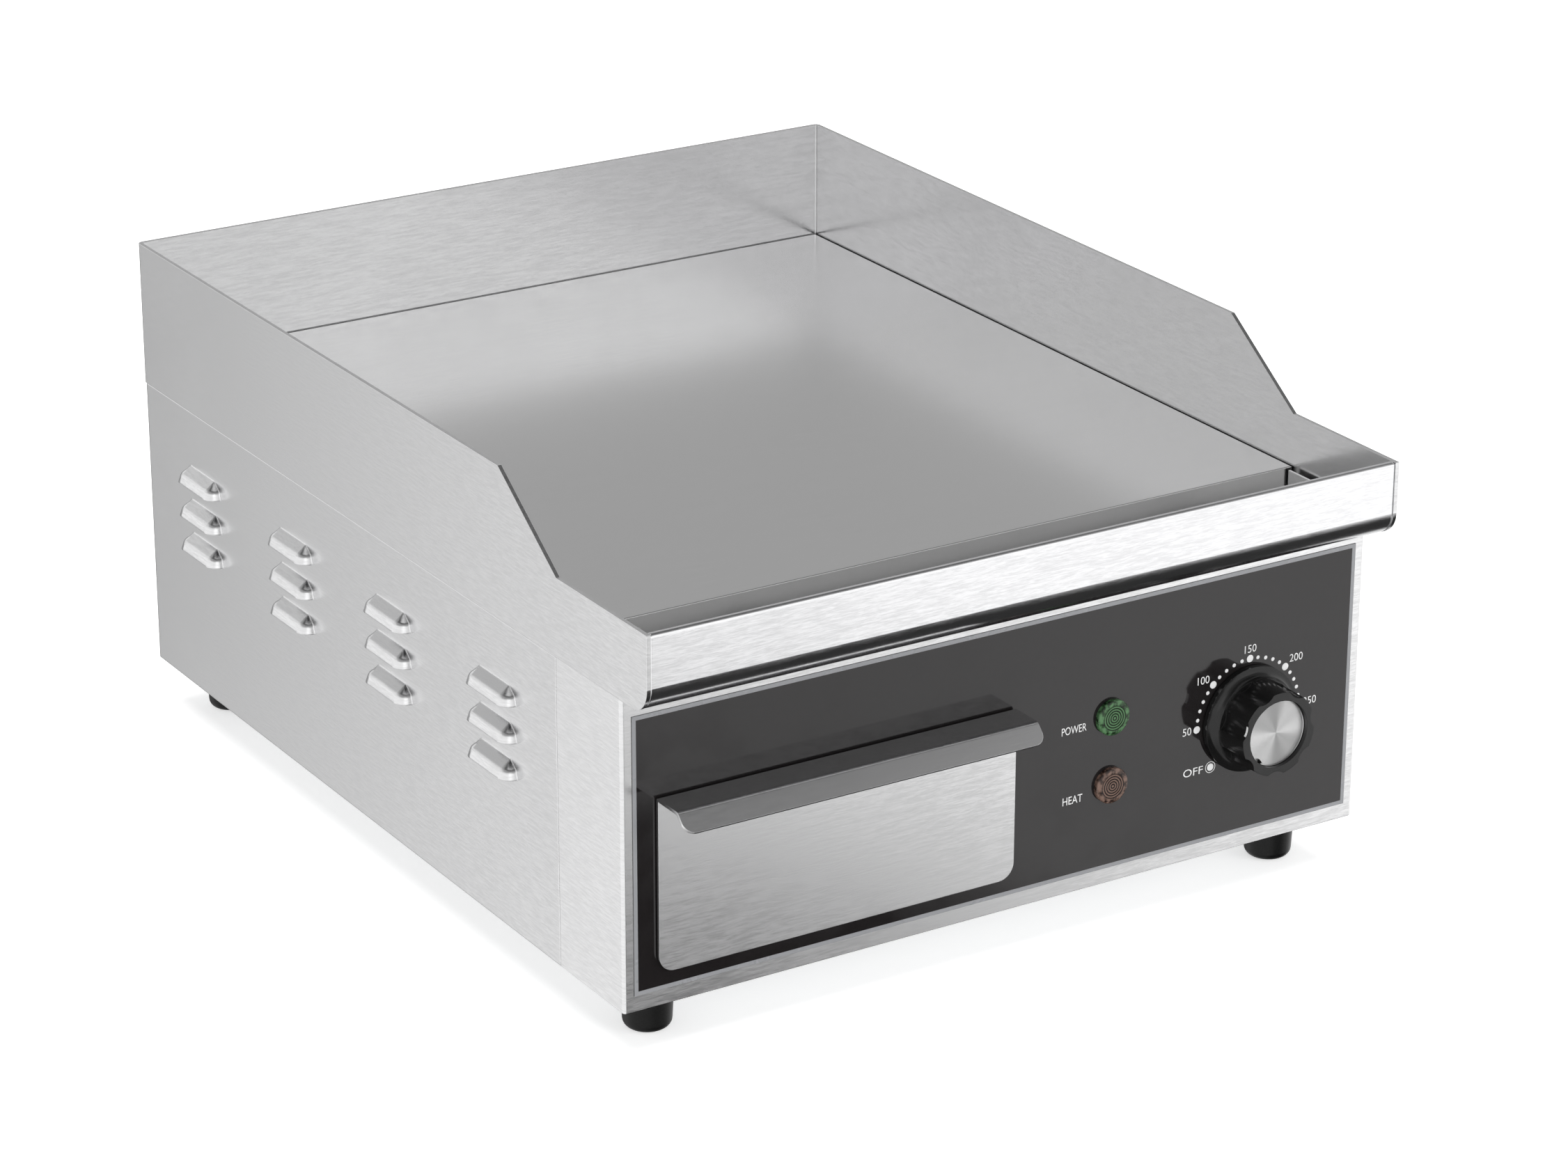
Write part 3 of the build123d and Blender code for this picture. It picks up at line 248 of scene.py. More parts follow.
class SharedEffects:
    """The node groups that several finishes share."""

    def __init__(self) -> None:
        """Build each group once."""
        self.grain = self._grain()
        self.edge_mask = self._edge_mask()
        self.haze = self._haze()
        self.mould = self._mould()
        self.rings = self._rings()

    @staticmethod
    def _grain() -> bpy.types.NodeTree:
        """Brushed lines: long streaks of two widths with an uneven strength.

        Returns:
            The group.
        """
        graph, given, result = new_group("BrushedGrain", {"Vector": "Vector"}, ("Streak", "Height"))
        spot = given.outputs["Vector"]
        wide = graph.add("ShaderNodeTexNoise", Vector=spot, Scale=1.0, Detail=3.0, Roughness=0.6)
        fine = graph.add("ShaderNodeTexNoise", Vector=spot, Scale=3.7, Detail=2.0, Roughness=0.5)
        mixed = graph.weigh(wide.outputs[0], 0.6, fine.outputs[0], 0.4)
        graph.feed(result.inputs["Streak"], graph.spread(mixed, 0.0, 1.0, (0.32, 0.68)))
        graph.feed(result.inputs["Height"], mixed)
        return graph.tree

    @staticmethod
    def _edge_mask() -> bpy.types.NodeTree:
        """Rounded edges: a mask where the rounded normal leaves the face's own normal; the metals paint a
        lighter highlight along it.

        Returns:
            The group.
        """
        graph, given, result = new_group("EdgeMask", {"Rounded": "Vector", "Reach": "Float"}, ("Edge",))
        own = graph.add("ShaderNodeNewGeometry").outputs["Normal"]
        dot = graph.add("ShaderNodeVectorMath", {"operation": "DOT_PRODUCT"})
        graph.feed(dot.inputs[0], given.outputs["Rounded"])
        graph.feed(dot.inputs[1], own)
        turned = graph.calc("SUBTRACT", 1.0, dot.outputs["Value"])
        bent = graph.spread(turned, 0.0, 1.0, (0.01, 0.2))
        graph.feed(result.inputs["Edge"], graph.calc("MULTIPLY", bent, given.outputs["Reach"]))
        return graph.tree

    @staticmethod
    def _haze() -> bpy.types.NodeTree:
        """Large soft patches left by wiping.

        Returns:
            The group.
        """
        graph, given, result = new_group("WipedHaze", {"Vector": "Vector", "Scale": "Float"}, ("Haze",))
        spot, scale = given.outputs["Vector"], given.outputs["Scale"]
        cloud = graph.add("ShaderNodeTexNoise", Vector=spot, Scale=scale, Detail=4.0, Roughness=0.55)
        graph.feed(result.inputs["Haze"], graph.spread(cloud.outputs[0], 0.0, 1.0, (0.35, 0.65)))
        return graph.tree

    @staticmethod
    def _mould() -> bpy.types.NodeTree:
        """The fine uneven skin of moulded plastic, rubber or fibre.

        Returns:
            The group.
        """
        sockets = {"Vector": "Vector", "Scale": "Float"}
        graph, given, result = new_group("MouldedSkin", sockets, ("Height", "Fleck"))
        spot, scale = given.outputs["Vector"], given.outputs["Scale"]
        skin = graph.add("ShaderNodeTexNoise", Vector=spot, Scale=scale, Detail=3.0, Roughness=0.6)
        cells = graph.add("ShaderNodeTexVoronoi", Vector=spot, Scale=scale)
        height = graph.weigh(skin.outputs[0], 0.7, cells.outputs["Distance"], 0.3)
        graph.feed(result.inputs["Height"], height)
        graph.feed(result.inputs["Fleck"], graph.spread(skin.outputs[0], 0.0, 1.0, (0.4, 0.62)))
        return graph.tree

    @staticmethod
    def _rings() -> bpy.types.NodeTree:
        """Turned lines round the Y axis through zero.

        Returns:
            The group.
        """
        sockets = {"Vector": "Vector", "Count": "Float"}
        graph, given, result = new_group("TurnedRings", sockets, ("Ring", "Radius", "Angle"))
        split = graph.add("ShaderNodeSeparateXYZ", Vector=given.outputs["Vector"])
        squares = [graph.calc("MULTIPLY", split.outputs[i], split.outputs[i]) for i in (0, 2)]
        radius = graph.calc("SQRT", graph.calc("ADD", *squares))
        angle = graph.calc("ARCTAN2", split.outputs[2], split.outputs[0])
        wave = graph.calc("SINE", graph.calc("MULTIPLY", radius, given.outputs["Count"]))
        graph.feed(result.inputs["Ring"], wave)
        graph.feed(result.inputs["Radius"], radius)
        graph.feed(result.inputs["Angle"], angle)
        return graph.tree


class Grain(Enum):
    """Which way a sheet was brushed, as lines per metre along X, Y and Z."""

    AROUND = (90.0, 90.0, 950.0)
    ACROSS = (60.0, 1300.0, 1300.0)
    NONE = (160.0, 160.0, 160.0)


@dataclass(frozen=True)
class MetalFinish:
    """Bare or plated sheet and turned metal.

    Attributes:
        name: Material name.
        bright: Colour of the light lines.
        dull: Colour of the dark lines.
        roughness: Lowest and highest roughness.
        grain: Brushing direction.
        bump: Strength of the brushed lines.
        streaks: How much of the dull colour the lines take.
        edge_radius: Width of the softened edges.
        edge_highlight: How far the edges are painted lighter, as a painted highlight.
        stretch: How far highlights are drawn out across the grain.
    """

    HAZE_SCALE: ClassVar[float] = 9.0  # wiped patches per metre
    HAZE_TINT: ClassVar[float] = 0.05  # share of the dull colour they take
    ROUGH_SHARES: ClassVar[tuple[float, float]] = (0.8, 0.2)  # of the lines and of the patches
    EDGE_HIGHLIGHT_LIFT: ClassVar[float] = 1.25  # how much lighter the edges are painted, a painted highlight
    RELIEF: ClassVar[float] = 0.1 * MM  # depth of the brushed lines

    name: str
    bright: Colour
    dull: Colour
    roughness: tuple[float, float] = (0.24, 0.34)
    grain: Grain = Grain.AROUND
    bump: float = 0.05
    streaks: float = 0.3
    edge_radius: float = 0.4 * MM
    edge_highlight: float = 0.35
    stretch: float = 0.3

    def build(self, effects: SharedEffects) -> bpy.types.Material:
        """Make the material.

        Args:
            effects: The shared node groups.

        Returns:
            The finished material.
        """
        material, graph, shader = new_material(self.name)
        brushed = graph.group(effects.grain, Vector=graph.place(self.grain.value))
        haze = graph.group(effects.haze, Vector=graph.place(), Scale=self.HAZE_SCALE).outputs["Haze"]
        rounded = graph.round_off(self.edge_radius)
        edge_mask_node = graph.group(effects.edge_mask, Rounded=rounded, Reach=self.edge_highlight)
        streak = brushed.outputs["Streak"]
        body = graph.blend(graph.calc("MULTIPLY", streak, self.streaks), self.bright, self.dull)
        wiped = graph.blend(graph.calc("MULTIPLY", haze, self.HAZE_TINT), body, self.dull)
        # Edges take a lighter colour: a painted highlight along the rounded edges, in place of the light
        # they catch.
        edge_highlight_colour = tuple(min(1.0, c * self.EDGE_HIGHLIGHT_LIFT) for c in self.bright)
        graph.feed(shader.inputs["Base Color"], graph.blend(edge_mask_node.outputs["Edge"], wiped, edge_highlight_colour))
        of_lines, of_haze = self.ROUGH_SHARES
        uneven = graph.weigh(streak, of_lines, haze, of_haze)
        graph.feed(shader.inputs["Roughness"], graph.spread(uneven, *self.roughness))
        relief = graph.add(
            "ShaderNodeBump",
            Strength=self.bump, Distance=self.RELIEF, Height=brushed.outputs["Height"], Normal=rounded,
        )
        graph.feed(shader.inputs["Normal"], relief.outputs[0])
        shader.inputs["Metallic"].default_value = 1.0
        shader.inputs["Anisotropic"].default_value = self.stretch
        return material


@dataclass(frozen=True)
class MouldedFinish:
    """Moulded plastic, rubber, fibre or print.

    Attributes:
        name: Material name.
        colour: Main colour.
        fleck: Colour of the uneven flecks.
        roughness: Lowest and highest roughness.
        skin_scale: Fineness of the skin, in cells per metre.
        bump: Strength of the skin.
        flecks: How much of the fleck colour shows.
        coat: Clear gloss over the surface.
        edge_radius: Width of the softened edges.
        sheen: Soft fibre sheen.
        shine: Strength of the plain reflection.
    """

    HAZE_SCALE: ClassVar[float] = 30.0  # wiped patches per metre
    EDGE_WEAR: ClassVar[float] = 0.4  # how far edges take the fleck colour
    RELIEF: ClassVar[float] = 0.05 * MM  # depth of the skin

    name: str
    colour: Colour
    fleck: Colour
    roughness: tuple[float, float] = (0.35, 0.5)
    skin_scale: float = 1400.0
    bump: float = 0.15
    flecks: float = 0.4
    coat: float = 0.0
    edge_radius: float = 0.3 * MM
    sheen: float = 0.0
    shine: float = 0.5

    def build(self, effects: SharedEffects) -> bpy.types.Material:
        """Make the material.

        Args:
            effects: The shared node groups.

        Returns:
            The finished material.
        """
        material, graph, shader = new_material(self.name)
        skin = graph.group(effects.mould, Vector=graph.place(), Scale=self.skin_scale)
        hazed = graph.group(effects.haze, Vector=graph.place(), Scale=self.HAZE_SCALE)
        rounded = graph.round_off(self.edge_radius)
        edge_mask_node = graph.group(effects.edge_mask, Rounded=rounded, Reach=self.EDGE_WEAR)
        flecks = graph.calc("MULTIPLY", skin.outputs["Fleck"], self.flecks)
        body = graph.blend(flecks, self.colour, self.fleck)
        graph.feed(shader.inputs["Base Color"], graph.blend(edge_mask_node.outputs["Edge"], body, self.fleck))
        graph.feed(shader.inputs["Roughness"], graph.spread(hazed.outputs["Haze"], *self.roughness))
        relief = graph.add(
            "ShaderNodeBump",
            Strength=self.bump, Distance=self.RELIEF, Height=skin.outputs["Height"], Normal=rounded,
        )
        graph.feed(shader.inputs["Normal"], relief.outputs[0])
        shader.inputs["Coat Weight"].default_value = self.coat
        shader.inputs["Sheen Weight"].default_value = self.sheen
        shader.inputs["Specular IOR Level"].default_value = self.shine
        return material


@dataclass(frozen=True)
class SpunFinish:
    """Aluminium turned on its face, with fine rings and rays of painted highlight in its colour.

    Attributes:
        name: Material name.
        bright: Colour of the painted highlight rays.
        dull: Colour between them.
        centre: The point the rings run round.
    """

    RINGS: ClassVar[float] = 18000.0  # radians of the ring wave per metre
    # Painted highlight rays: how many in one turn, where they start in radians, and their share.
    BROAD_HIGHLIGHT_RAYS: ClassVar[tuple[float, float, float]] = (2.0, 0.5, 0.6)
    SHARP_HIGHLIGHT_RAYS: ClassVar[tuple[float, float, float]] = (6.0, 1.1, 0.25)
    RELIEF: ClassVar[float] = 0.05 * MM  # depth of the rings

    name: str
    bright: Colour
    dull: Colour
    centre: tuple[float, float, float]

    def build(self, effects: SharedEffects) -> bpy.types.Material:
        """Make the material.

        Args:
            effects: The shared node groups.

        Returns:
            The finished material.
        """
        material, graph, shader = new_material(self.name)
        spot = graph.place(centre=self.centre)
        rings = graph.group(effects.rings, Vector=spot, Count=self.RINGS)
        ring, angle = rings.outputs["Ring"], rings.outputs["Angle"]
        # The rays are painted highlights: the colour turns lighter at fixed angles round the cap, standing
        # in for the light its rings catch.
        highlight_rays = [
            graph.calc("SINE", graph.calc("ADD", graph.calc("MULTIPLY", angle, count), phase))
            for count, phase, _ in (self.BROAD_HIGHLIGHT_RAYS, self.SHARP_HIGHLIGHT_RAYS)
        ]
        mixed = graph.weigh(highlight_rays[0], self.BROAD_HIGHLIGHT_RAYS[2], highlight_rays[1], self.SHARP_HIGHLIGHT_RAYS[2])
        ray_highlight_colour = graph.blend(graph.spread(mixed, 0.0, 1.0, (-0.8, 0.8)), self.dull, self.bright)
        fine = graph.blend(graph.spread(ring, 0.0, 0.12, (-1.0, 1.0)), ray_highlight_colour, self.dull)
        graph.feed(shader.inputs["Base Color"], fine)
        graph.feed(shader.inputs["Roughness"], graph.spread(ring, 0.26, 0.36, (-1.0, 1.0)))
        relief = graph.add("ShaderNodeBump", Strength=0.25, Distance=self.RELIEF, Height=ring)
        graph.feed(shader.inputs["Normal"], relief.outputs[0])
        shader.inputs["Metallic"].default_value = 1.0
        return material


@dataclass(frozen=True)
class LensFinish:
    """Tinted plastic lens with turned ribs, their crests painted lighter as a highlight and their grooves
    darker as shade.

    Attributes:
        name: Material name.
        light: Colour painted on the rib crests as a painted highlight, and the light side of the marbling.
        dark: Colour painted between the crests as painted shade, and the dark side of the marbling round
            them.
        centre: Middle of the lens.
        rib_pitch: Distance from rib to rib.
    """

    HAZE_SCALE: ClassVar[float] = 330.0  # marbled patches per metre
    RIM: ClassVar[tuple[float, float]] = (5.8 * MM, 6.4 * MM)  # radii where the ribs fade out
    RELIEF: ClassVar[float] = 0.1 * MM  # depth of the marbling

    name: str
    light: Colour
    dark: Colour
    centre: tuple[float, float, float]
    rib_pitch: float

    def build(self, effects: SharedEffects) -> bpy.types.Material:
        """Make the material.

        Args:
            effects: The shared node groups.

        Returns:
            The finished material.
        """
        material, graph, shader = new_material(self.name)
        spot = graph.place(centre=self.centre)
        rings = graph.group(effects.rings, Vector=spot, Count=math.tau / self.rib_pitch)
        haze = graph.group(effects.haze, Vector=spot, Scale=self.HAZE_SCALE).outputs["Haze"]
        # The rib crests are painted lighter and the grooves darker: a painted highlight and painted shade
        # on the ribs.
        crest_highlight = graph.spread(rings.outputs["Ring"], 0.0, 1.0, (-0.3, 0.3))
        ribs = graph.blend(crest_highlight, self.dark, self.light)
        marbled = graph.blend(haze, self.dark, self.light)
        rim = graph.spread(rings.outputs["Radius"], 0.0, 1.0, self.RIM)
        graph.feed(shader.inputs["Base Color"], graph.blend(rim, ribs, marbled))
        graph.feed(shader.inputs["Roughness"], graph.spread(haze, 0.22, 0.34))
        relief = graph.add("ShaderNodeBump", Strength=0.3, Distance=self.RELIEF, Height=haze)
        graph.feed(shader.inputs["Normal"], relief.outputs[0])
        shader.inputs["Coat Weight"].default_value = 0.08
        shader.inputs["Specular IOR Level"].default_value = 0.3
        return material


def new_material(name: str) -> tuple[bpy.types.Material, Graph, bpy.types.Node]:
    """Start a material.

    Args:
        name: Its name.

    Returns:
        The material, its graph and its Principled shader.
    """
    material = bpy.data.materials.new(name)
    material.use_nodes = True
    material.node_tree.nodes.clear()
    graph = Graph(material.node_tree)
    shader = graph.add("ShaderNodeBsdfPrincipled")
    graph.add("ShaderNodeOutputMaterial", Surface=shader.outputs[0])
    return material, graph, shader


# ------------------------------------------------------------------ bench work
def let_go() -> None:
    """Deselect every object and clear the active one."""
    for item in bpy.context.scene.objects:
        item.select_set(False)
    bpy.context.view_layer.objects.active = None


def pick(piece: bpy.types.Object) -> None:
    """Select one object alone and make it active.

    Args:
        piece: The object.
    """
    let_go()
    piece.select_set(True)
    bpy.context.view_layer.objects.active = piece


@contextmanager
def editing(piece: bpy.types.Object) -> Iterator[None]:
    """Open a piece in edit mode with nothing selected, and close it afterwards.

    Args:
        piece: The object.

    Yields:
        Nothing, while the piece is open.
    """
    pick(piece)
    bpy.ops.object.mode_set(mode="EDIT")
    bpy.ops.mesh.select_all(action="DESELECT")
    yield
    bpy.ops.object.mode_set(mode="OBJECT")


def choose(kind: str, test: Callable[[object], bool]) -> None:
    """Select the parts of the edited mesh that pass a test, and nothing else.

    Args:
        kind: "faces", "edges" or "verts".
        test: Says whether an element is wanted.
    """
    mesh = bpy.context.edit_object.data
    sheet = bmesh.from_edit_mesh(mesh)
    bpy.context.tool_settings.mesh_select_mode = (kind == "verts", kind == "edges", kind == "faces")
    for group in (sheet.verts, sheet.edges, sheet.faces):
        for element in group:
            element.select = False
    for element in [element for element in getattr(sheet, kind) if test(element)]:
        element.select_set(True)
    sheet.select_flush_mode()
    bmesh.update_edit_mesh(mesh)


def facing(direction: Sequence[float], limit: float = 0.99) -> Callable[[object], bool]:
    """Make a test for faces that look along a direction."""
    wanted = Vector(direction)
    return lambda face: face.normal.dot(wanted) > limit


def middle(edge: object) -> Vector:
    """Middle point of a mesh edge."""
    return (edge.verts[0].co + edge.verts[1].co) / 2


def apply_modifier(piece: bpy.types.Object, kind: str, **settings: object) -> None:
    """Add a modifier and apply it at once.

    Args:
        piece: The object.
        kind: Blender's name of the modifier type.
        **settings: Its properties.
    """
    pick(piece)
    modifier = piece.modifiers.new(kind.title(), kind)
    for name, value in settings.items():
        setattr(modifier, name, value)
    bpy.ops.object.modifier_apply(modifier=modifier.name)


def soften(piece: bpy.types.Object, width: float, segments: int = 2, angle: float = 35.0) -> None:
    """Round every edge sharper than an angle.

    Args:
        piece: The object.
        width: Width of the rounding.
        segments: Steps across it.
        angle: Smallest bend that is rounded, in degrees.
    """
    limit = math.radians(angle)
    apply_modifier(
        piece, "BEVEL", width=width, segments=segments, limit_method="ANGLE", angle_limit=limit
    )


def settle(piece: bpy.types.Object, name: str, smooth: float = 32.0) -> None:
    """Move a piece's place into its mesh, tidy the mesh and name it.

    Args:
        piece: The object.
        name: Its new name.
        smooth: Bends below this many degrees are shaded round.
    """
    pick(piece)
    bpy.ops.object.transform_apply(location=True, rotation=True, scale=True)
    with editing(piece):
        bpy.ops.mesh.select_all(action="SELECT")
        bpy.ops.mesh.remove_doubles(threshold=MERGE)
        bpy.ops.mesh.normals_make_consistent(inside=False)
    bpy.ops.object.shade_smooth_by_angle(angle=math.radians(smooth))
    apply_modifier(piece, "WEIGHTED_NORMAL", keep_sharp=True)
    piece.name = name
    piece.data.name = name


def turned_blank(
    centre: Sequence[float], profile: Sequence[tuple[float, float]], sides: int
) -> bpy.types.Object:
    """Turn a closed solid round a line along Y.

    A disc is drawn out along the profile by extruding and resizing its rim.

    Args:
        centre: A point on the line.
        profile: Radius and Y of each ring, from the first closed face to the last.
        sides: Steps round the solid.

    Returns:
        The new object.
    """
    start_r, start_y = profile[0]
    let_go()
    bpy.ops.mesh.primitive_circle_add(
        vertices=sides, radius=start_r, fill_type="NGON",
        location=(centre[0], start_y, centre[2]), rotation=(QUARTER, 0, 0),
    )
    piece = bpy.context.active_object
    with editing(piece):
        bpy.ops.mesh.select_all(action="SELECT")
        radius, depth = start_r, start_y
        for next_r, next_y in profile[1:]:
            bpy.ops.mesh.extrude_region_move(TRANSFORM_OT_translate={"value": (0, next_y - depth, 0)})
            share = next_r / radius
            hub = (centre[0], next_y, centre[2])
            bpy.ops.transform.resize(value=(share, 1, share), center_override=hub)
            radius, depth = next_r, next_y
    return piece


def dress(piece: bpy.types.Object, material: bpy.types.Material) -> None:
    """Give a piece one material."""
    piece.data.materials.clear()
    piece.data.materials.append(material)


def hand_over(piece: bpy.types.Object, body: str, slot: str | None, *nodes: str) -> None:
    """Put a finished piece on its body in place of the CAD nodes it stands for.

    Args:
        piece: The finished piece.
        body: The CAD body it moves with.
        slot: The record's material slot, or None; not used.
        *nodes: CAD nodes that it stands for.
    """
    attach(piece, body)
    if nodes:
        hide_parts(*nodes)
    LOG.info("%s rides on %s, %d faces", piece.name, body, len(piece.data.polygons))


# ------------------------------------------------------------------ finishes
class FinishBook:
    """Every finish of the griddle, made once."""

    STEEL_LIGHT = (0.745, 0.745, 0.75)
    STEEL_DULL = (0.63, 0.63, 0.635)
    PANEL_LIGHT = (0.81, 0.81, 0.815)
    PANEL_DULL = (0.70, 0.70, 0.705)
    FASCIA_LIGHT = (0.89, 0.89, 0.90)
    FASCIA_DULL = (0.74, 0.74, 0.75)
    SATIN = (0.17, 0.26)
    WORN_PLATING = (0.22, 0.36)

    def __init__(self) -> None:
        """Make the shared effects and the finishes that need no place of their own."""
        self.effects = SharedEffects()
        finishes = (*self._metals(), *self._mouldings(), *self._fibres())
        self.made = {finish.name: finish.build(self.effects) for finish in finishes}

    def _metals(self) -> tuple[MetalFinish, ...]:
        """Describe the metals.

        Returns:
            The finishes of sheet, plate, fasteners and tubes.
        """
        light, dull, satin, plated = self.STEEL_LIGHT, self.STEEL_DULL, self.SATIN, self.WORN_PLATING
        return (
            # The sheet edges are painted lighter as a highlight, most strongly on the satin sheet and the
            # guard.
            MetalFinish(
                "satin_stainless", light, dull, satin,
                bump=0.08, streaks=0.6, edge_radius=1.0 * MM, edge_highlight=1.0,
            ),
            MetalFinish(
                "panel_stainless", self.PANEL_LIGHT, self.PANEL_DULL, satin,
                bump=0.05, streaks=0.55, edge_radius=0.25 * MM, edge_highlight=0.5,
            ),
            MetalFinish(
                "guard_stainless", light, dull, satin,
                bump=0.08, streaks=0.55, edge_radius=0.3 * MM, edge_highlight=0.8,
            ),
            MetalFinish(
                "fascia_stainless", self.FASCIA_LIGHT, self.FASCIA_DULL, (0.16, 0.24),
                bump=0.1, streaks=0.5,
            ),
            MetalFinish(
                "plate_steel", grey(0.70), grey(0.62), (0.20, 0.24), Grain.ACROSS,
                bump=0.008, streaks=0.25, stretch=0.0,
            ),
            MetalFinish("trough_stainless", grey(0.92), grey(0.80), (0.26, 0.36), Grain.ACROSS, bump=0.02),
            MetalFinish(
                "galvanised_sheet", (0.62, 0.64, 0.65), (0.50, 0.52, 0.54), (0.34, 0.48), Grain.NONE
            ),
            MetalFinish("zinc_fastener", (0.72, 0.73, 0.74), (0.55, 0.57, 0.58), plated, Grain.NONE),
            MetalFinish("element_sheath", (0.20, 0.19, 0.18), (0.10, 0.09, 0.08), (0.40, 0.55), Grain.NONE),
            MetalFinish("brass_fitting", (0.80, 0.62, 0.30), (0.62, 0.46, 0.20), plated, Grain.NONE),
            MetalFinish("copper_tube", (0.82, 0.48, 0.33), (0.60, 0.32, 0.20), plated, Grain.NONE),
        )

    def _mouldings(self) -> tuple[MouldedFinish, ...]:
        """Describe the plastics, the rubber and the printing.

        Returns:
            Their finishes.
        """
        return (
            MouldedFinish(
                "black_film", (0.0100, 0.0088, 0.0090), (0.0130, 0.0115, 0.0118), (0.05, 0.09),
                skin_scale=500.0, bump=0.01, flecks=0.3,
            ),
            MouldedFinish(
                "grey_border", (0.22, 0.225, 0.235), (0.25, 0.25, 0.26), (0.2, 0.3),
                skin_scale=900.0, bump=0.02, flecks=0.3,
            ),
            MouldedFinish(
                "white_print", grey(0.72), grey(0.66), (0.35, 0.5),
                skin_scale=2500.0, bump=0.05, flecks=0.3,
            ),
            MouldedFinish(
                "pointer_paint", grey(0.80), grey(0.70), (0.3, 0.4),
                skin_scale=2500.0, bump=0.05, flecks=0.2,
            ),
            MouldedFinish(
                "knob_plastic", grey(0.006), grey(0.014), (0.12, 0.20),
                skin_scale=1800.0, bump=0.03, flecks=0.3, coat=0.05, shine=0.36,
            ),
            MouldedFinish(
                "foot_rubber", grey(0.004), grey(0.009), (0.30, 0.45),
                skin_scale=1600.0, bump=0.25, flecks=0.5, shine=0.2,
            ),
            MouldedFinish(
                "gland_nylon", (0.02, 0.02, 0.021), (0.035, 0.035, 0.036), (0.4, 0.5),
                skin_scale=1500.0, bump=0.12,
            ),
            MouldedFinish(
                "pale_moulding", (0.78, 0.75, 0.68), (0.66, 0.62, 0.54), (0.45, 0.6),
                skin_scale=1200.0, bump=0.2,
            ),
        )

    def _fibres(self) -> tuple[MouldedFinish, ...]:
        """Describe the insulation and the woven sleeving.

        Returns:
            Their finishes.
        """
        return (
            MouldedFinish(
                "ceramic_wool", (0.82, 0.80, 0.74), (0.66, 0.62, 0.54), (0.8, 0.95),
                skin_scale=350.0, bump=0.9, flecks=0.6, sheen=0.3,
            ),
            MouldedFinish(
                "glass_sleeving", (0.80, 0.77, 0.68), (0.60, 0.56, 0.46), (0.6, 0.8),
                skin_scale=1100.0, bump=0.6, flecks=0.6, sheen=0.2,
            ),
        )

    def add(self, finish: SpunFinish | LensFinish) -> bpy.types.Material:
        """Make a finish that is centred on one piece.

        Args:
            finish: The finish.

        Returns:
            Its material.
        """
        self.made[finish.name] = finish.build(self.effects)
        return self.made[finish.name]

    def __getitem__(self, name: str) -> bpy.types.Material:
        """Give a finished material by its name."""
        return self.made[name]


SLOT_FINISHES = {
    "brushed_stainless": "satin_stainless",
    "galvanised_sheet": "galvanised_sheet",
    "plain_stainless": "trough_stainless",
    "cooking_steel": "plate_steel",
    "black_film": "black_film",
    "black_knob": "knob_plastic",
    "spun_aluminium": "zinc_fastener",
    "green_lens": "pale_moulding",
    "amber_lens": "pale_moulding",
    "black_rubber": "foot_rubber",
    "element_sheath": "element_sheath",
    "ceramic_fibre": "ceramic_wool",
    "brass_fittings": "brass_fitting",
    "copper_capillary": "copper_tube",
    "moulded_housing": "pale_moulding",
    "gland_plastic": "gland_nylon",
    "wire_sleeving": "glass_sleeving",
    "zinc_steel": "zinc_fastener",
}
NODE_FINISHES = {
    "splash_guard": "guard_stainless",
    "front_fascia": "fascia_stainless",
    "front_panel": "panel_stainless",
}


@dataclass(frozen=True)
class CarriedParts:
    """The CAD nodes whose shape is right and which only take a finish."""

    finishes: FinishBook

    def dress(self, frame: dict) -> None:
        """Give every CAD node the finish of its record slot.
        """
        for row in frame["record"]["subparts"]:
            node = row["node"]
            finish = NODE_FINISHES.get(node, SLOT_FINISHES[row["material_slot"]])
            dress(frame["nodes"][node], self.finishes[finish])


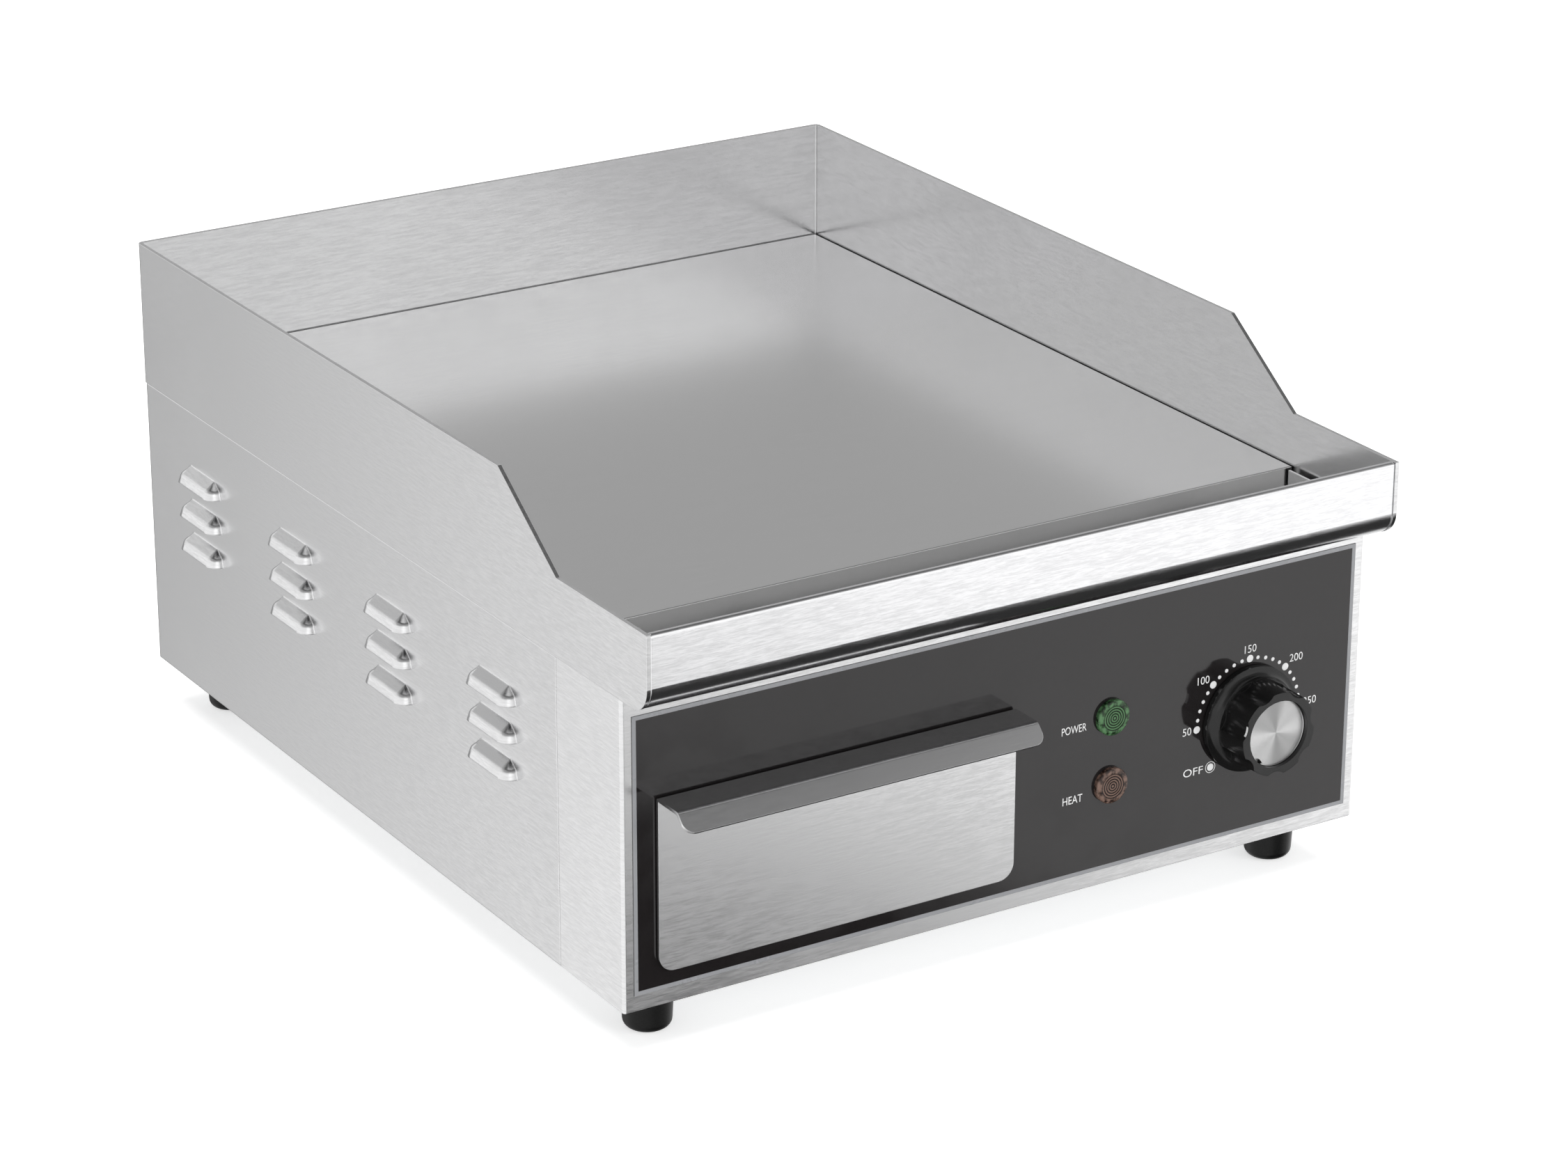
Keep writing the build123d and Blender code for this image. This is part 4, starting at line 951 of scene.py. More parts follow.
# ------------------------------------------------------------------ thermostat knob
@dataclass
class ThermostatKnob:
    """The moulded knob with its seven flutes, its spun cap and its pointer mark.

    Attributes:
        finishes: The finish book.
        sides: Steps round the knob.
        grip_r: Radius at the back of the grip.
        face_r: Radius at the front.
        skirt_h: Height of the skirt's straight edge.
        flare_h: Height where the flare meets the grip, from the panel.
        flare_steps: Rings that shape the flare.
        flare_powers: How full the flare is across and along the knob.
        wall: Thickness of the skirt round the hollow back.
        draft: How much narrower the hollow is at its bottom.
        edge: Width of the rounded edges.
        rim_inner_r: Inner edge of the front ring.
        recess: Depth of the cap below the front ring.
        cap_r: Radius of the cap.
        cap_t: Thickness of the cap.
        cap_sides: Steps round the cap.
        cap_rim: Width of the cap's bright rim.
        cap_chamfer: Width of its two slopes.
        cap_sink: Depth of the cap's face below its rim.
        dimple: Outer and inner radius of the dimple in its middle, and its depth.
        flutes: Number of flutes.
        flute_r: Radius of the cutter.
        flute_depth: Depth of a flute at the front.
        flute_stop: Distance from the panel where flutes end.
        flute_sides: Steps round the cutter.
        overshoot: How far before the knob the cutter starts.
        first_flute: Angle of one flute, clockwise from the top in degrees.
        pointer: Angle of the pointer mark, clockwise from the top in degrees.
        pointer_size: Width, length and thickness of the mark.
        pointer_gap: Distance from the front ring to the mark.
        tooth: Angle of the locating tooth, clockwise from the top in degrees.
        tooth_size: Radius at its two ends, and height.
        tooth_inset: Distance of its axis inside the front ring's inner edge.
        tooth_depth: Distance of its middle behind the front.
        cavity: Depth of the hollow in the back, from the panel.
    """

    finishes: FinishBook
    sides: int = 168
    grip_r: float = 20.8 * MM
    face_r: float = 20.5 * MM
    skirt_h: float = 2.6 * MM
    flare_h: float = 9.5 * MM
    flare_steps: int = 7
    flare_powers: tuple[float, float] = (0.8, 0.9)
    wall: float = 2.4 * MM
    draft: float = 3.0 * MM
    edge: float = 0.3 * MM
    rim_inner_r: float = 16.4 * MM
    recess: float = 2.2 * MM
    cap_r: float = 16.3 * MM
    cap_t: float = 0.9 * MM
    cap_sides: int = 128
    cap_rim: float = 0.35 * MM
    cap_chamfer: float = 0.15 * MM
    cap_sink: float = 0.12 * MM
    dimple: tuple[float, float, float] = (0.4 * MM, 0.2 * MM, 0.04 * MM)
    flutes: int = 7
    flute_r: float = 7.5 * MM
    flute_depth: float = 1.9 * MM
    flute_stop: float = 7.0 * MM
    flute_sides: int = 96
    overshoot: float = 4.0 * MM
    first_flute: float = 28.3
    pointer: float = 285.4
    pointer_size: tuple[float, float, float] = (4.8 * MM, 1.3 * MM, 0.12 * MM)
    pointer_gap: float = 0.35 * MM
    tooth: float = 218.0
    tooth_size: tuple[float, float, float] = (1.5 * MM, 0.7 * MM, 2.0 * MM)
    tooth_inset: float = 0.9 * MM
    tooth_depth: float = 1.1 * MM
    cavity: float = 6.0 * MM

    def __post_init__(self) -> None:
        """Take the knob's place from its CAD node."""
        low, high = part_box("knob")
        self.centre = Vector(((low.x + high.x) / 2, 0.0, (low.z + high.z) / 2))
        self.skirt_r = (high.x - low.x) / 2
        self.front_y = low.y
        self.back_y = high.y
        self.panel_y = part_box("front_panel")[0].y

    def around(self, degrees: float, radius: float, y: float) -> Vector:
        """Give a point round the knob's axis, clockwise from the top."""
        turn = math.radians(degrees)
        return Vector((self.centre.x + radius * math.sin(turn), y, self.centre.z + radius * math.cos(turn)))

    def build(self) -> None:
        """Build the knob, its cap and its pointer."""
        self._body()
        self._cap()
        self._pointer()
        self._tooth()

    def _body(self) -> None:
        """Turn the body, cut the flutes and soften the edges."""
        shoulder = self.back_y - self.skirt_h
        flare_end = self.panel_y - self.flare_h
        rise = shoulder - flare_end
        run = self.skirt_r - self.grip_r
        across, along = self.flare_powers
        turns = [QUARTER * i / self.flare_steps for i in range(1, self.flare_steps + 1)]
        flare = [
            (self.skirt_r - run * math.sin(turn) ** across, shoulder - rise * (1 - math.cos(turn)) ** along)
            for turn in turns
        ]
        hollow_r = self.skirt_r - self.wall
        floor_y = self.front_y + self.recess + self.cap_t
        profile = [
            (hollow_r - self.draft, self.panel_y - self.cavity),
            (hollow_r, self.back_y),
            (self.skirt_r, self.back_y),
            (self.skirt_r, shoulder),
            *flare,
            (self.face_r, self.front_y),
            (self.rim_inner_r, self.front_y),
            (self.rim_inner_r - NEAR, floor_y),
        ]
        body = turned_blank(self.centre, profile, self.sides)
        for k in range(self.flutes):
            self._cut_flute(body, self.first_flute + k * 360.0 / self.flutes)
        soften(body, self.edge, 2, 40.0)
        settle(body, "control_knob", 30.0)
        dress(body, self.finishes["knob_plastic"])
        hand_over(body, "knob", "black_knob", "knob")

    def _cut_flute(self, body: bpy.types.Object, degrees: float) -> None:
        """Cut one flute with a round cutter that stops short of the panel.

        Args:
            body: The knob's body.
            degrees: The flute's angle, clockwise from the top.
        """
        reach = self.front_y - self.overshoot
        stop = self.panel_y - self.flute_stop
        spot = self.around(degrees, self.face_r - self.flute_depth + self.flute_r, (reach + stop) / 2)
        let_go()
        bpy.ops.mesh.primitive_cylinder_add(
            vertices=self.flute_sides, radius=self.flute_r, depth=stop - reach,
            location=spot, rotation=(QUARTER, 0, 0),
        )
        cutter = bpy.context.active_object
        apply_modifier(body, "BOOLEAN", object=cutter, operation="DIFFERENCE", solver="EXACT")
        bpy.data.objects.remove(cutter)

    def _cap(self) -> None:
        """Turn the cap with a raised bright rim and a small dimple in its middle."""
        face = self.front_y + self.recess
        chamfer = self.cap_chamfer
        rim_r = self.cap_r - chamfer - self.cap_rim
        dimple_r, dimple_floor_r, dimple_h = self.dimple
        profile = [
            (self.cap_r, face + self.cap_t),
            (self.cap_r, face + chamfer),
            (self.cap_r - chamfer, face),
            (rim_r, face),
            (rim_r - chamfer, face + self.cap_sink),
            (dimple_r, face + self.cap_sink),
            (dimple_floor_r, face + self.cap_sink + dimple_h),
        ]
        cap = turned_blank(self.centre, profile, self.cap_sides)
        settle(cap, "knob_cap_disc", 20.0)
        spot = (self.centre.x, face, self.centre.z)
        dress(cap, self.finishes.add(SpunFinish("spun_aluminium", grey(0.86), grey(0.46), spot)))
        hand_over(cap, "knob", "spun_aluminium", "knob_cap")

    def _pointer(self) -> None:
        """Lay the white pointer mark in the flute beside the front ring."""
        width, length, thick = self.pointer_size
        let_go()
        bpy.ops.mesh.primitive_grid_add(x_subdivisions=10, y_subdivisions=4, size=1.0)
        mark = bpy.context.active_object
        with editing(mark):
            bpy.ops.mesh.select_all(action="SELECT")
            bpy.ops.transform.resize(value=(width, length, 1.0), center_override=(0, 0, 0))
        for vertex in mark.data.vertices:
            vertex.co.z = self.flute_r - math.sqrt(self.flute_r**2 - vertex.co.x**2)
        apply_modifier(mark, "SOLIDIFY", thickness=thick, offset=0.0)
        middle_y = self.front_y + self.pointer_gap + length / 2
        spot = self.around(self.pointer, self.face_r - self.flute_depth + 0.02 * MM, middle_y)
        turn = Matrix.Rotation(math.radians(self.pointer), 4, "Y")
        mark.matrix_world = Matrix.Translation(spot) @ turn
        settle(mark, "knob_pointer", 30.0)
        dress(mark, self.finishes["pointer_paint"])
        hand_over(mark, "knob", None)

    def _tooth(self) -> None:
        """Add the small locating tooth at the inner edge of the front ring."""
        wide, narrow, height = self.tooth_size
        radius = self.rim_inner_r - self.tooth_inset
        spot = self.around(self.tooth, radius, self.front_y + self.tooth_depth)
        let_go()
        bpy.ops.mesh.primitive_cone_add(
            vertices=3, radius1=wide, radius2=narrow, depth=height, location=spot, rotation=(QUARTER, 0, 0)
        )
        tooth = bpy.context.active_object
        soften(tooth, 0.12 * MM)
        settle(tooth, "knob_index_tooth")
        dress(tooth, self.finishes["knob_plastic"])
        hand_over(tooth, "knob", "black_knob")


# ------------------------------------------------------------------ pilot lamps
@dataclass
class PilotLamp:
    """A round tinted lens with turned ribs.

    Attributes:
        finishes: The finish book.
        node: The CAD lens it stands for.
        slot: Its record slot.
        light: Colour painted on the rib crests, a painted highlight.
        dark: Colour painted between them, painted shade.
        pitch: Distance from rib to rib.
        ribs: Number of ribs.
        rib_h: Height of a rib.
        foot: Half of a rib's width at its foot, as a share of the pitch.
        top: Half of its width at the top, as a share of the pitch.
        wall_h: Distance from the front to the end of the straight wall.
        rim: Width of the rim's steep slope, width of both slopes, and height of the flatter one.
        sides: Steps round the lens.
    """

    finishes: FinishBook
    node: str
    slot: str
    light: Colour
    dark: Colour
    pitch: float = 1.25 * MM
    ribs: int = 5
    rib_h: float = 0.3 * MM
    foot: float = 0.30
    top: float = 0.12
    wall_h: float = 1.0 * MM
    rim: tuple[float, float, float] = (0.3 * MM, 0.95 * MM, 0.28 * MM)
    sides: int = 96

    def build(self) -> None:
        """Build and dress the lens."""
        low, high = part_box(self.node)
        centre = Vector(((low.x + high.x) / 2, low.y, (low.z + high.z) / 2))
        radius = (high.x - low.x) / 2
        face = low.y + self.rib_h
        steep_w, slope_w, slope_h = self.rim
        profile = [
            (radius, high.y),
            (radius, low.y + self.wall_h),
            (radius - steep_w, face + slope_h),
            (radius - slope_w, face),
        ]
        for k in range(self.ribs, 0, -1):
            crest = self.pitch * (k - SINE_CREST)
            profile += [
                (crest + self.foot * self.pitch, face),
                (crest + self.top * self.pitch, low.y),
                (crest - self.top * self.pitch, low.y),
                (crest - self.foot * self.pitch, face),
            ]
        profile.append((0.1 * MM, face))
        lens = turned_blank(centre, profile, self.sides)
        settle(lens, self.node.replace("lamp_lens", "pilot_lens"), 25.0)
        finish = LensFinish(self.slot, self.light, self.dark, tuple(centre), self.pitch)
        dress(lens, self.finishes.add(finish))
        hand_over(lens, "housing", self.slot, self.node)


# ------------------------------------------------------------------ printed film
@dataclass
class DialPrint:
    """The printing on the black film: dial dots, numbers, lamp words and the grey border.

    Attributes:
        finishes: The finish book.
        circle_r: Radius of the dot circle.
        step: Degrees from one number to the next.
        first: Angle of the lowest number, clockwise from the top in degrees.
        between: Small dots between two numbers.
        big_r: Radius of a dot beside a number.
        small_r: Radius of a dot between numbers.
        ring_r: Radius of the ring round the off mark.
        line: Width of printed lines.
        ink: Thickness of the print.
        cap_height: Height of the figures.
        border: Width of the grey border.
        numbers: How many numbers have a dot.
        arc_gaps: Degrees left free after the off mark and before the lowest number.
        dot_sides: Steps round a dot.
        ring_sides: Steps round the ring.
        arc_steps: Steps along the thin line.
    """

    # What is printed, its middle in millimetres across and up, and its stretch across.
    # Figures are measured from the knob's axis, lamp words from the griddle's middle
    # and the panel's lower edge.
    FIGURES: ClassVar[tuple[tuple[str, float, float, float], ...]] = (
        ("50", -34.9, 0.2, 0.95),
        ("100", -26.4, 24.2, 0.95),
        ("150", 0.1, 34.3, 0.95),
        ("200", 27.0, 24.4, 0.95),
        ("250", 36.0, 0.5, 0.95),
        ("OFF", -30.6, -20.9, 1.2),
    )
    LAMP_WORDS: ClassVar[tuple[tuple[str, float, float, float], ...]] = (
        ("POWER", 36.65, 81.7, 0.72),
        ("HEAT", 36.7, 46.7, 0.80),
    )

    finishes: FinishBook
    circle_r: float = 29.35 * MM
    step: float = 45.0
    first: float = 270.0
    between: int = 4
    big_r: float = 1.85 * MM
    small_r: float = 0.95 * MM
    ring_r: float = 2.9 * MM
    line: float = 0.45 * MM
    ink: float = 0.05 * MM
    cap_height: float = 3.9 * MM
    border: float = 2.0 * MM
    numbers: int = 5
    arc_gaps: tuple[float, float] = (6.0, 3.5)
    dot_sides: int = 32
    ring_sides: int = 48
    arc_steps: int = 28

    def __post_init__(self) -> None:
        """Take the film's face and the knob's centre from their CAD nodes."""
        low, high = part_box("control_overlay")
        self.film = (low, high)
        knob_low, knob_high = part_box("knob")
        self.centre = ((knob_low.x + knob_high.x) / 2, (knob_low.z + knob_high.z) / 2)

    def build(self) -> None:
        """Print the marks and the border."""
        marks = [self._disc(self.first + n * self.step, self.big_r) for n in range(self.numbers)]
        small = self.step / (self.between + 1)
        for n in range(self.numbers - 1):
            number = self.first + n * self.step
            marks += [self._disc(number + k * small, self.small_r) for k in range(1, self.between + 1)]
        off = self.first - self.step
        after, before = self.arc_gaps
        marks += [self._disc(off, self.big_r), self._ring(off), self._arc(off + after, self.first - before)]
        panel_low = (0.0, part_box("front_panel")[0].z)
        for rows, (from_x, from_z) in ((self.FIGURES, self.centre), (self.LAMP_WORDS, panel_low)):
            for text, x, z, width in rows:
                marks.append(self._words(text, from_x + x * MM, from_z + z * MM, width))
        let_go()
        for mark in marks:
            mark.select_set(True)
        bpy.context.view_layer.objects.active = marks[0]
        bpy.ops.object.join()
        settle(marks[0], "dial_print")
        dress(marks[0], self.finishes["white_print"])
        hand_over(marks[0], "housing", None)
        self._border()

    def _spot(self, degrees: float) -> Vector:
        """Give a point on the dot circle, half the ink's thickness before the film.

        Args:
            degrees: Its angle, clockwise from the top.

        Returns:
            The point.
        """
        turn = math.radians(degrees)
        x = self.centre[0] + self.circle_r * math.sin(turn)
        z = self.centre[1] + self.circle_r * math.cos(turn)
        return Vector((x, self.film[0].y - self.ink / 2, z))

    def _disc(self, degrees: float, radius: float) -> bpy.types.Object:
        """Print one dot.

        Args:
            degrees: Its angle, clockwise from the top.
            radius: Its radius.

        Returns:
            The dot's object.
        """
        let_go()
        spot = self._spot(degrees)
        bpy.ops.mesh.primitive_cylinder_add(
            vertices=self.dot_sides, radius=radius, depth=self.ink,
            location=spot, rotation=(QUARTER, 0, 0),
        )
        return bpy.context.active_object

    def _ring(self, degrees: float) -> bpy.types.Object:
        """Print the ring round the off dot.

        Args:
            degrees: Its angle, clockwise from the top.

        Returns:
            The ring's object.
        """
        let_go()
        spot = self._spot(degrees)
        bpy.ops.mesh.primitive_circle_add(
            vertices=self.ring_sides, radius=self.ring_r, fill_type="NGON",
            location=spot, rotation=(QUARTER, 0, 0),
        )
        ring = bpy.context.active_object
        with editing(ring):
            bpy.ops.mesh.select_all(action="SELECT")
            bpy.ops.mesh.inset(thickness=self.line * 0.8)
            bpy.ops.mesh.delete(type="FACE")
        apply_modifier(ring, "SOLIDIFY", thickness=self.ink, offset=0.0)
        return ring

    def _arc(self, start: float, end: float) -> bpy.types.Object:
        """Print the thin line from the off mark to the first number.

        Args:
            start: First angle, clockwise from the top in degrees.
            end: Last angle.

        Returns:
            The line's object.
        """
        let_go()
        spot = self._spot(start)
        turned = (0, math.radians(start), 0)
        bpy.ops.mesh.primitive_plane_add(size=self.line, location=spot, rotation=turned)
        arc = bpy.context.active_object
        hub = (self.centre[0], spot.y, self.centre[1])
        sweep = math.radians(end - start)
        with editing(arc):
            bpy.ops.mesh.select_all(action="SELECT")
            bpy.ops.transform.resize(value=(1, self.ink / self.line, 1), center_override=spot)
            bpy.ops.mesh.spin(steps=self.arc_steps, angle=sweep, center=hub, axis=(0, 1, 0))
        return arc

    def _words(self, text: str, x: float, z: float, width: float) -> bpy.types.Object:
        """Print a word or number.

        Args:
            text: What is printed.
            x: Middle of the word.
            z: Middle of its height.
            width: Stretch across.

        Returns:
            The word's object.
        """
        let_go()
        bpy.ops.object.text_add()
        word = bpy.context.active_object
        word.data.body = text
        word.data.extrude = 0.5
        word.data.resolution_u = 4
        bpy.ops.object.convert(target="MESH")
        word = bpy.context.active_object
        corners = [vertex.co.copy() for vertex in word.data.vertices]
        low = Vector(min(c[i] for c in corners) for i in range(3))
        high = Vector(max(c[i] for c in corners) for i in range(3))
        scale = self.cap_height / (high.y - low.y)
        size = Matrix.Diagonal((scale * width, scale, self.ink, 1.0))
        centred = Matrix.Translation(-(low + high) / 2)
        upright = Matrix.Rotation(QUARTER, 4, "X")
        place = Matrix.Translation((x, self.film[0].y - self.ink / 2, z))
        word.data.transform(place @ upright @ size @ centred)
        return word

    def _border(self) -> None:
        """Print the grey border round the film's edge."""
        low, high = self.film
        let_go()
        spot = ((low.x + high.x) / 2, low.y - self.ink / 2, (low.z + high.z) / 2)
        bpy.ops.mesh.primitive_plane_add(size=1.0, location=spot, rotation=(QUARTER, 0, 0))
        border = bpy.context.active_object
        with editing(border):
            bpy.ops.mesh.select_all(action="SELECT")
            bpy.ops.transform.resize(value=(high.x - low.x, 1.0, high.z - low.z), center_override=spot)
            bpy.ops.mesh.inset(thickness=self.border)
            bpy.ops.mesh.delete(type="FACE")
        apply_modifier(border, "SOLIDIFY", thickness=self.ink, offset=0.0)
        settle(border, "film_border")
        dress(border, self.finishes["grey_border"])
        hand_over(border, "housing", "black_film")


# ------------------------------------------------------------------ grease drawer
@dataclass
class DrawerFace:
    """The drawer's folded front: a plate, a level flange and a sloping lip to pull on.

    Attributes:
        finishes: The finish book.
        sheet: Thickness of the steel.
        lip_run: How far the lip reaches forward, and down.
        bend: Width of the rounded bends.
        low_corner: Radius of the lower corners.
        lip_corner: Radius of the lip's corners.
        edge: Width of the rounded sheet edges.
    """

    finishes: FinishBook
    sheet: float = 1.5 * MM
    lip_run: float = 7.566 * MM
    bend: float = 1.2 * MM
    low_corner: float = 8.0 * MM
    lip_corner: float = 5.5 * MM
    edge: float = 0.22 * MM

    def build(self) -> None:
        """Fold the front from one flat sheet."""
        low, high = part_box("drawer_front")
        bend_y = low.y + self.lip_run
        tip_z = high.z - self.lip_run
        flange = (0, bend_y - high.y, 0)
        lip = (0, -self.lip_run, tip_z - high.z)
        let_go()
        spot = ((low.x + high.x) / 2, high.y, (low.z + high.z) / 2)
        bpy.ops.mesh.primitive_plane_add(size=1.0, location=spot, rotation=(QUARTER, 0, 0))
        face = bpy.context.active_object
        with editing(face):
            bpy.ops.mesh.select_all(action="SELECT")
            bpy.ops.transform.resize(value=(high.x - low.x, 1.0, high.z - low.z), center_override=spot)
        pick(face)
        bpy.ops.object.transform_apply(location=True, rotation=True, scale=True)
        with editing(face):
            choose("edges", lambda e: middle(e).z > high.z - NEAR)
            bpy.ops.mesh.extrude_edges_move(TRANSFORM_OT_translate={"value": flange})
            choose("edges", lambda e: middle(e).y < bend_y + NEAR)
            bpy.ops.mesh.extrude_edges_move(TRANSFORM_OT_translate={"value": lip})
            choose("verts", lambda v: v.co.z < low.z + NEAR)
            bpy.ops.mesh.bevel(offset=self.low_corner, segments=8, affect="VERTICES")
            choose("verts", lambda v: v.co.y < low.y + NEAR)
            bpy.ops.mesh.bevel(offset=self.lip_corner, segments=8, affect="VERTICES")
            choose("edges", lambda e: len(e.link_faces) == 2 and middle(e).z > high.z - NEAR)
            bpy.ops.mesh.bevel(offset=self.bend, segments=4, affect="EDGES")
            bpy.ops.mesh.select_all(action="SELECT")
            bpy.ops.mesh.normals_make_consistent(inside=False)
        plate = max(face.data.polygons, key=lambda polygon: polygon.area)
        outward = 1.0 if plate.normal.y > 0 else -1.0
        apply_modifier(face, "SOLIDIFY", thickness=self.sheet, offset=-outward, use_even_offset=True)
        soften(face, self.edge, 2, 50.0)
        settle(face, "drawer_face", 40.0)
        dress(face, self.finishes["panel_stainless"])
        hand_over(face, "drawer", "brushed_stainless", "drawer_front")


# ------------------------------------------------------------------ feet
@dataclass
class RubberFoot:
    """A tapered rubber foot with a rounded tread and a deep screw hole.

    Attributes:
        finishes: The finish book.
        node: The CAD foot it stands for.
        low_r: Radius at the bottom.
        tread: Radius of the lower edge.
        bore_r: Radius of the screw hole.
        bore_h: Depth of the screw hole.
        top_edge: Radius of the upper edge.
    """

    finishes: FinishBook
    node: str
    low_r: float = 11.1 * MM
    tread: float = 4.0 * MM
    bore_r: float = 5.7 * MM
    bore_h: float = 9.0 * MM
    top_edge: float = 0.5 * MM

    def build(self) -> None:
        """Shape and dress the foot."""
        low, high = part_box(self.node)
        top_r = (high.x - low.x) / 2
        centre = (low + high) / 2
        let_go()
        height = high.z - low.z
        bpy.ops.mesh.primitive_cylinder_add(vertices=64, radius=top_r, depth=height, location=centre)
        foot = bpy.context.active_object
        pick(foot)
        bpy.ops.object.transform_apply(location=True, rotation=True, scale=True)
        with editing(foot):
            choose("faces", facing((0, 0, -1)))
            share = self.low_r / top_r
            bpy.ops.transform.resize(value=(share, share, 1), center_override=(centre.x, centre.y, low.z))
            choose("edges", lambda e: middle(e).z < low.z + NEAR)
            bpy.ops.mesh.bevel(offset=self.tread, segments=6)
            choose("faces", facing((0, 0, -1), 0.999))
            bpy.ops.mesh.inset(thickness=self.low_r - self.tread - self.bore_r)
            bpy.ops.mesh.extrude_region_move(TRANSFORM_OT_translate={"value": (0, 0, self.bore_h)})
            choose("edges", lambda e: middle(e).z > high.z - NEAR)
            bpy.ops.mesh.bevel(offset=self.top_edge, segments=2)
        settle(foot, f"rubber_{self.node}", 35.0)
        dress(foot, self.finishes["foot_rubber"])
        hand_over(foot, "housing", "black_rubber", self.node)


# ------------------------------------------------------------------ studio
@dataclass(frozen=True)
class Softbox:
    """One large soft lamp that lights matt surfaces and stays out of reflections.

    Attributes:
        name: Its name.
        place: Where it hangs.
        aim: The point it faces.
        size: Its width and height.
        power: Its power in watts.
    """

    name: str
    place: tuple[float, float, float]
    aim: tuple[float, float, float]
    size: tuple[float, float]
    power: float

    def hang(self) -> None:
        """Add the lamp to the scene."""
        data = bpy.data.lights.new(self.name, "AREA")
        data.shape = "RECTANGLE"
        data.size, data.size_y = self.size
        data.energy = self.power
        lamp = bpy.data.objects.new(self.name, data)
        bpy.context.scene.collection.objects.link(lamp)
        lamp.location = self.place
        lamp.rotation_euler = (Vector(self.aim) - Vector(self.place)).to_track_quat("-Z", "Y").to_euler()
        lamp.visible_glossy = False


@dataclass(frozen=True)
class SkyCard:
    """A round card of its own brightness in the studio's surroundings.

    Attributes:
        heading: Its direction, in degrees from straight ahead towards the right.
        rise: Its height above the horizon, in degrees.
        core: Half the angle of its even middle, in degrees.
        rim: Half the angle where it has faded out, in degrees.
        level: Its brightness.
    """

    heading: float
    rise: float
    core: float
    rim: float
    level: float

    def direction(self) -> tuple[float, float, float]:
        """Give the unit vector towards its middle."""
        turn, lift = math.radians(self.heading), math.radians(self.rise)
        return (math.sin(turn) * math.cos(lift), math.cos(turn) * math.cos(lift), math.sin(lift))


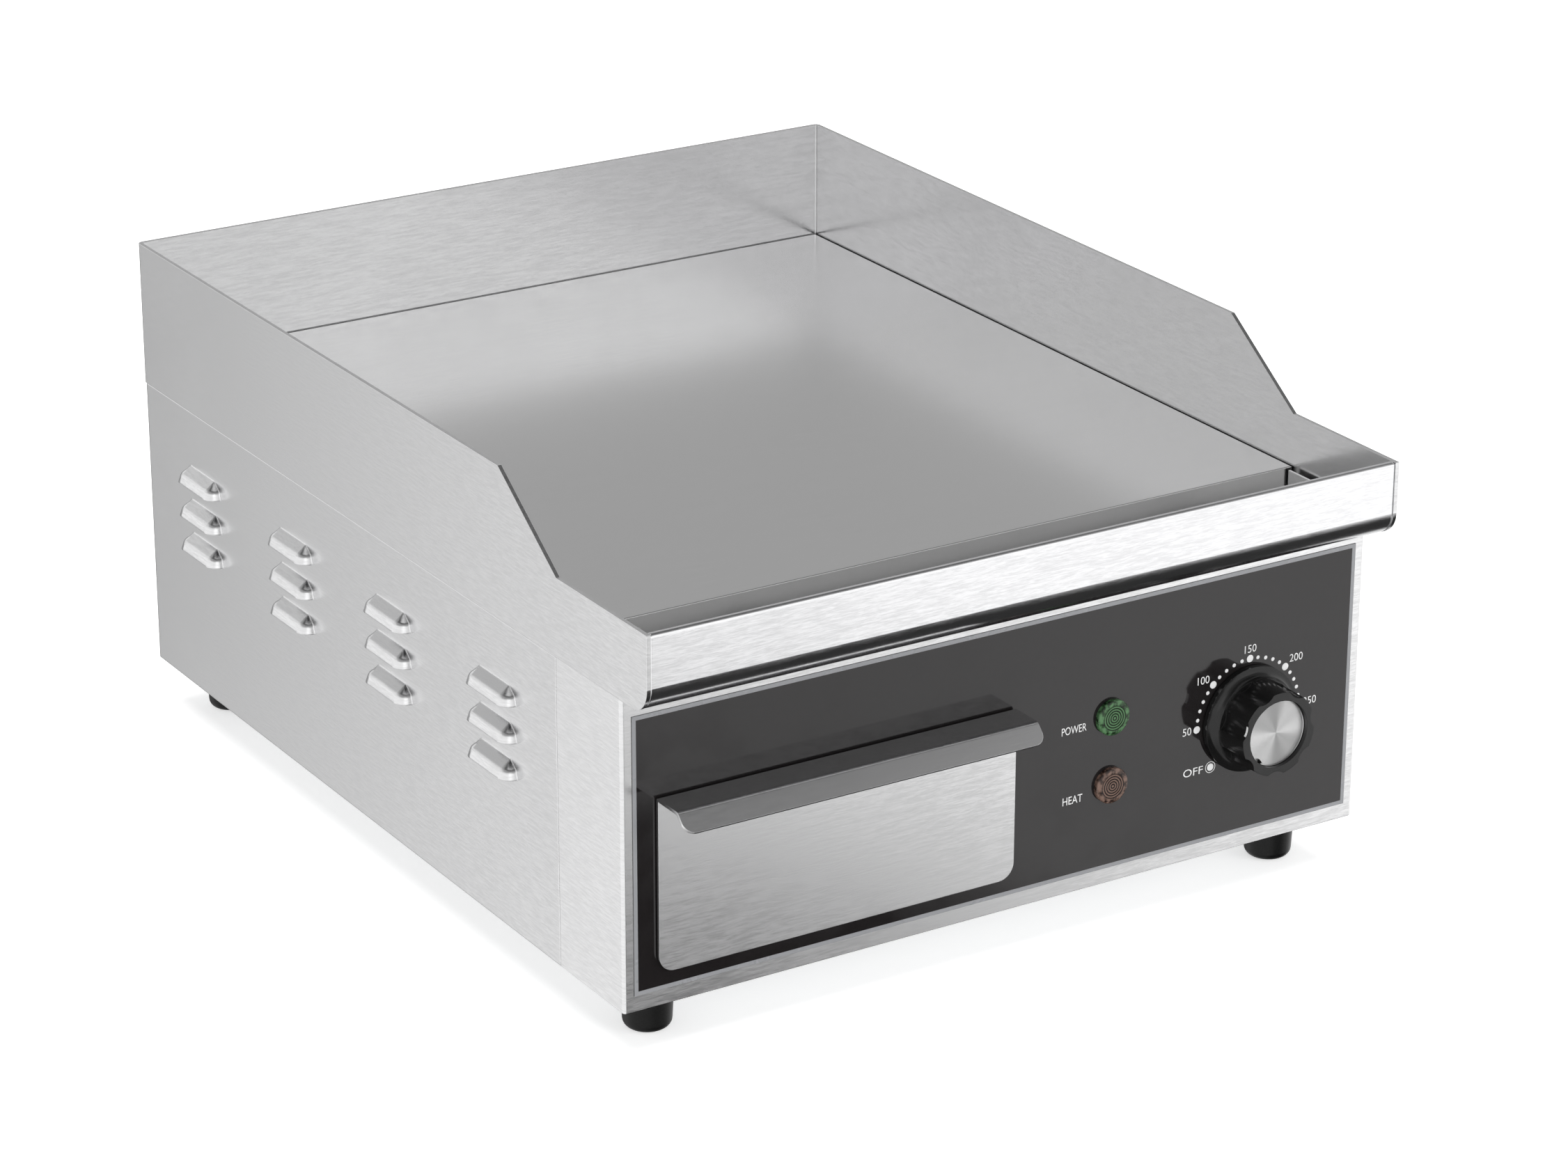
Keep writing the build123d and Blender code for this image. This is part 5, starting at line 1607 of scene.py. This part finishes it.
@dataclass(frozen=True)
class Studio:
    """The pale floor, the soft lamps, the surroundings and the camera.

    Attributes:
        camera_place: Where the camera stands.
        heading: Its turn from straight ahead to the right, in degrees.
        tilt: How far it looks down, in degrees.
        roll: Its roll, in degrees.
        lens: Focal length in millimetres on a 36 mm sensor.
        bands: Brightness of the surroundings against the sine of the height.
        cards: Cards laid over the bands in order.
        lamps: The lamps for matt surfaces.
        floor_glow: Light of the floor itself, which keeps its shadows soft.
    """

    camera_place: tuple[float, float, float] = (-1.13564, -1.87365, 0.98089)
    heading: float = 31.8674
    tilt: float = 21.7171
    roll: float = 0.1168
    lens: float = 110.8
    bands: tuple[tuple[float, float], ...] = (
        (-1.0, 0.45),
        (-0.5, 1.1),
        (0.0, 1.15),
        (0.38, 1.08),
        (0.54, 0.45),
        (0.72, 0.4),
        (0.8, 0.12),
        (0.91, 0.08),
        (0.96, 0.7),
        (1.0, 0.8),
    )
    cards: tuple[SkyCard, ...] = (
        SkyCard(139.0, -20.0, 3.0, 10.0, 1.30),
        SkyCard(150.0, 20.0, 6.0, 16.0, 1.3),
        SkyCard(-148.0, 20.0, 9.0, 20.0, 1.45),
        SkyCard(160.0, -52.2, 28.5, 29.3, 0.02),
        SkyCard(120.0, -58.0, 23.0, 31.0, 0.03),
        SkyCard(0.0, -15.0, 20.0, 30.5, 0.32),
        SkyCard(0.0, 48.0, 14.0, 24.0, 0.42),
        SkyCard(36.0, 21.0, 13.0, 22.0, 0.46),
        SkyCard(-38.0, 22.0, 6.0, 16.0, 0.92),
    )
    lamps: tuple[Softbox, ...] = (
        Softbox("top_box", (0.0, 0.0, 2.6), (0.0, 0.0, 0.0), (3.0, 3.0), 70.0),
        Softbox("front_right_box", (1.6, -2.6, 1.1), (0.0, 0.0, 0.15), (2.0, 1.4), 20.0),
    )
    floor_glow: float = 0.55

    def set_up(self) -> None:
        """Lay the floor, hang the lamps and place the camera."""
        self._floor()
        self._sky()
        for lamp in self.lamps:
            lamp.hang()
        self._camera()
        bpy.context.scene.view_settings.view_transform = "Standard"

    def _floor(self) -> None:
        """Lay a plain pale floor that stays out of reflections."""
        let_go()
        bpy.ops.mesh.primitive_plane_add(size=40.0)
        floor = bpy.context.active_object
        floor.name = "studio_floor"
        material, graph, shader = new_material("pale_floor")
        cloud = graph.add("ShaderNodeTexNoise", Vector=graph.place(), Scale=0.6)
        graph.feed(shader.inputs["Base Color"], graph.blend(cloud.outputs[0], grey(0.90), grey(0.92)))
        shader.inputs["Roughness"].default_value = 0.9
        shader.inputs["Specular IOR Level"].default_value = 0.0
        shader.inputs["Emission Color"].default_value = (1.0, 1.0, 1.0, 1.0)
        shader.inputs["Emission Strength"].default_value = self.floor_glow
        dress(floor, material)
        floor.visible_glossy = False

    def _sky(self) -> None:
        """Paint the surroundings: level bands with round cards over them."""
        world = bpy.data.worlds.new("studio_sky")
        bpy.context.scene.world = world
        world.use_nodes = True
        graph = Graph(world.node_tree)
        ray = graph.add("ShaderNodeTexCoord").outputs["Generated"]
        height = graph.add("ShaderNodeSeparateXYZ", Vector=ray).outputs["Z"]
        level = None
        for (low, first), (high, second) in zip(self.bands, self.bands[1:]):
            step = graph.spread(height, 0.0, second - first, (low, high))
            level = graph.calc("ADD", step, first if level is None else level)
        for card in self.cards:
            dot = graph.add("ShaderNodeVectorMath", {"operation": "DOT_PRODUCT"})
            graph.feed(dot.inputs[0], ray)
            graph.feed(dot.inputs[1], card.direction())
            edge = (math.cos(math.radians(card.rim)), math.cos(math.radians(card.core)))
            mask = graph.spread(dot.outputs["Value"], 0.0, 1.0, edge)
            gap = graph.calc("SUBTRACT", card.level, level)
            level = graph.calc("MULTIPLY_ADD", gap, mask, level)
        graph.feed(world.node_tree.nodes["Background"].inputs["Strength"], level)
        world.node_tree.nodes["Background"].inputs["Color"].default_value = (1.0, 1.0, 1.0, 1.0)

    def _camera(self) -> None:
        """Place the camera."""
        data = bpy.data.cameras.new("studio_camera")
        data.sensor_fit = "HORIZONTAL"
        data.sensor_width = 36.0
        data.lens = self.lens
        data.clip_end = 100.0
        camera = bpy.data.objects.new("studio_camera", data)
        bpy.context.scene.collection.objects.link(camera)
        yaw = Matrix.Rotation(-math.radians(self.heading), 4, "Z")
        pitch = Matrix.Rotation(math.radians(90.0 - self.tilt), 4, "X")
        roll = Matrix.Rotation(math.radians(self.roll), 4, "Z")
        camera.matrix_world = Matrix.Translation(self.camera_place) @ yaw @ pitch @ roll
        bpy.context.scene.camera = camera


def main() -> None:
    """Build every piece in order and set up the studio."""
    logging.basicConfig(level=logging.INFO, format="%(name)s: %(message)s")
    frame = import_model()
    finishes = FinishBook()
    CarriedParts(finishes).dress(frame)
    ThermostatKnob(finishes).build()
    lamps = (
        ("power_lamp_lens", "green_lens", (0.070, 0.165, 0.070), (0.002, 0.010, 0.002)),
        ("heat_lamp_lens", "amber_lens", (0.155, 0.096, 0.074), (0.010, 0.005, 0.004)),
    )
    for lamp in lamps:
        PilotLamp(finishes, *lamp).build()
    DialPrint(finishes).build()
    DrawerFace(finishes).build()
    for node in ("foot_front_left", "foot_front_right", "foot_rear_left", "foot_rear_right"):
        RubberFoot(finishes, node).build()
    Studio().set_up()


if __name__ == "__main__":
    main()
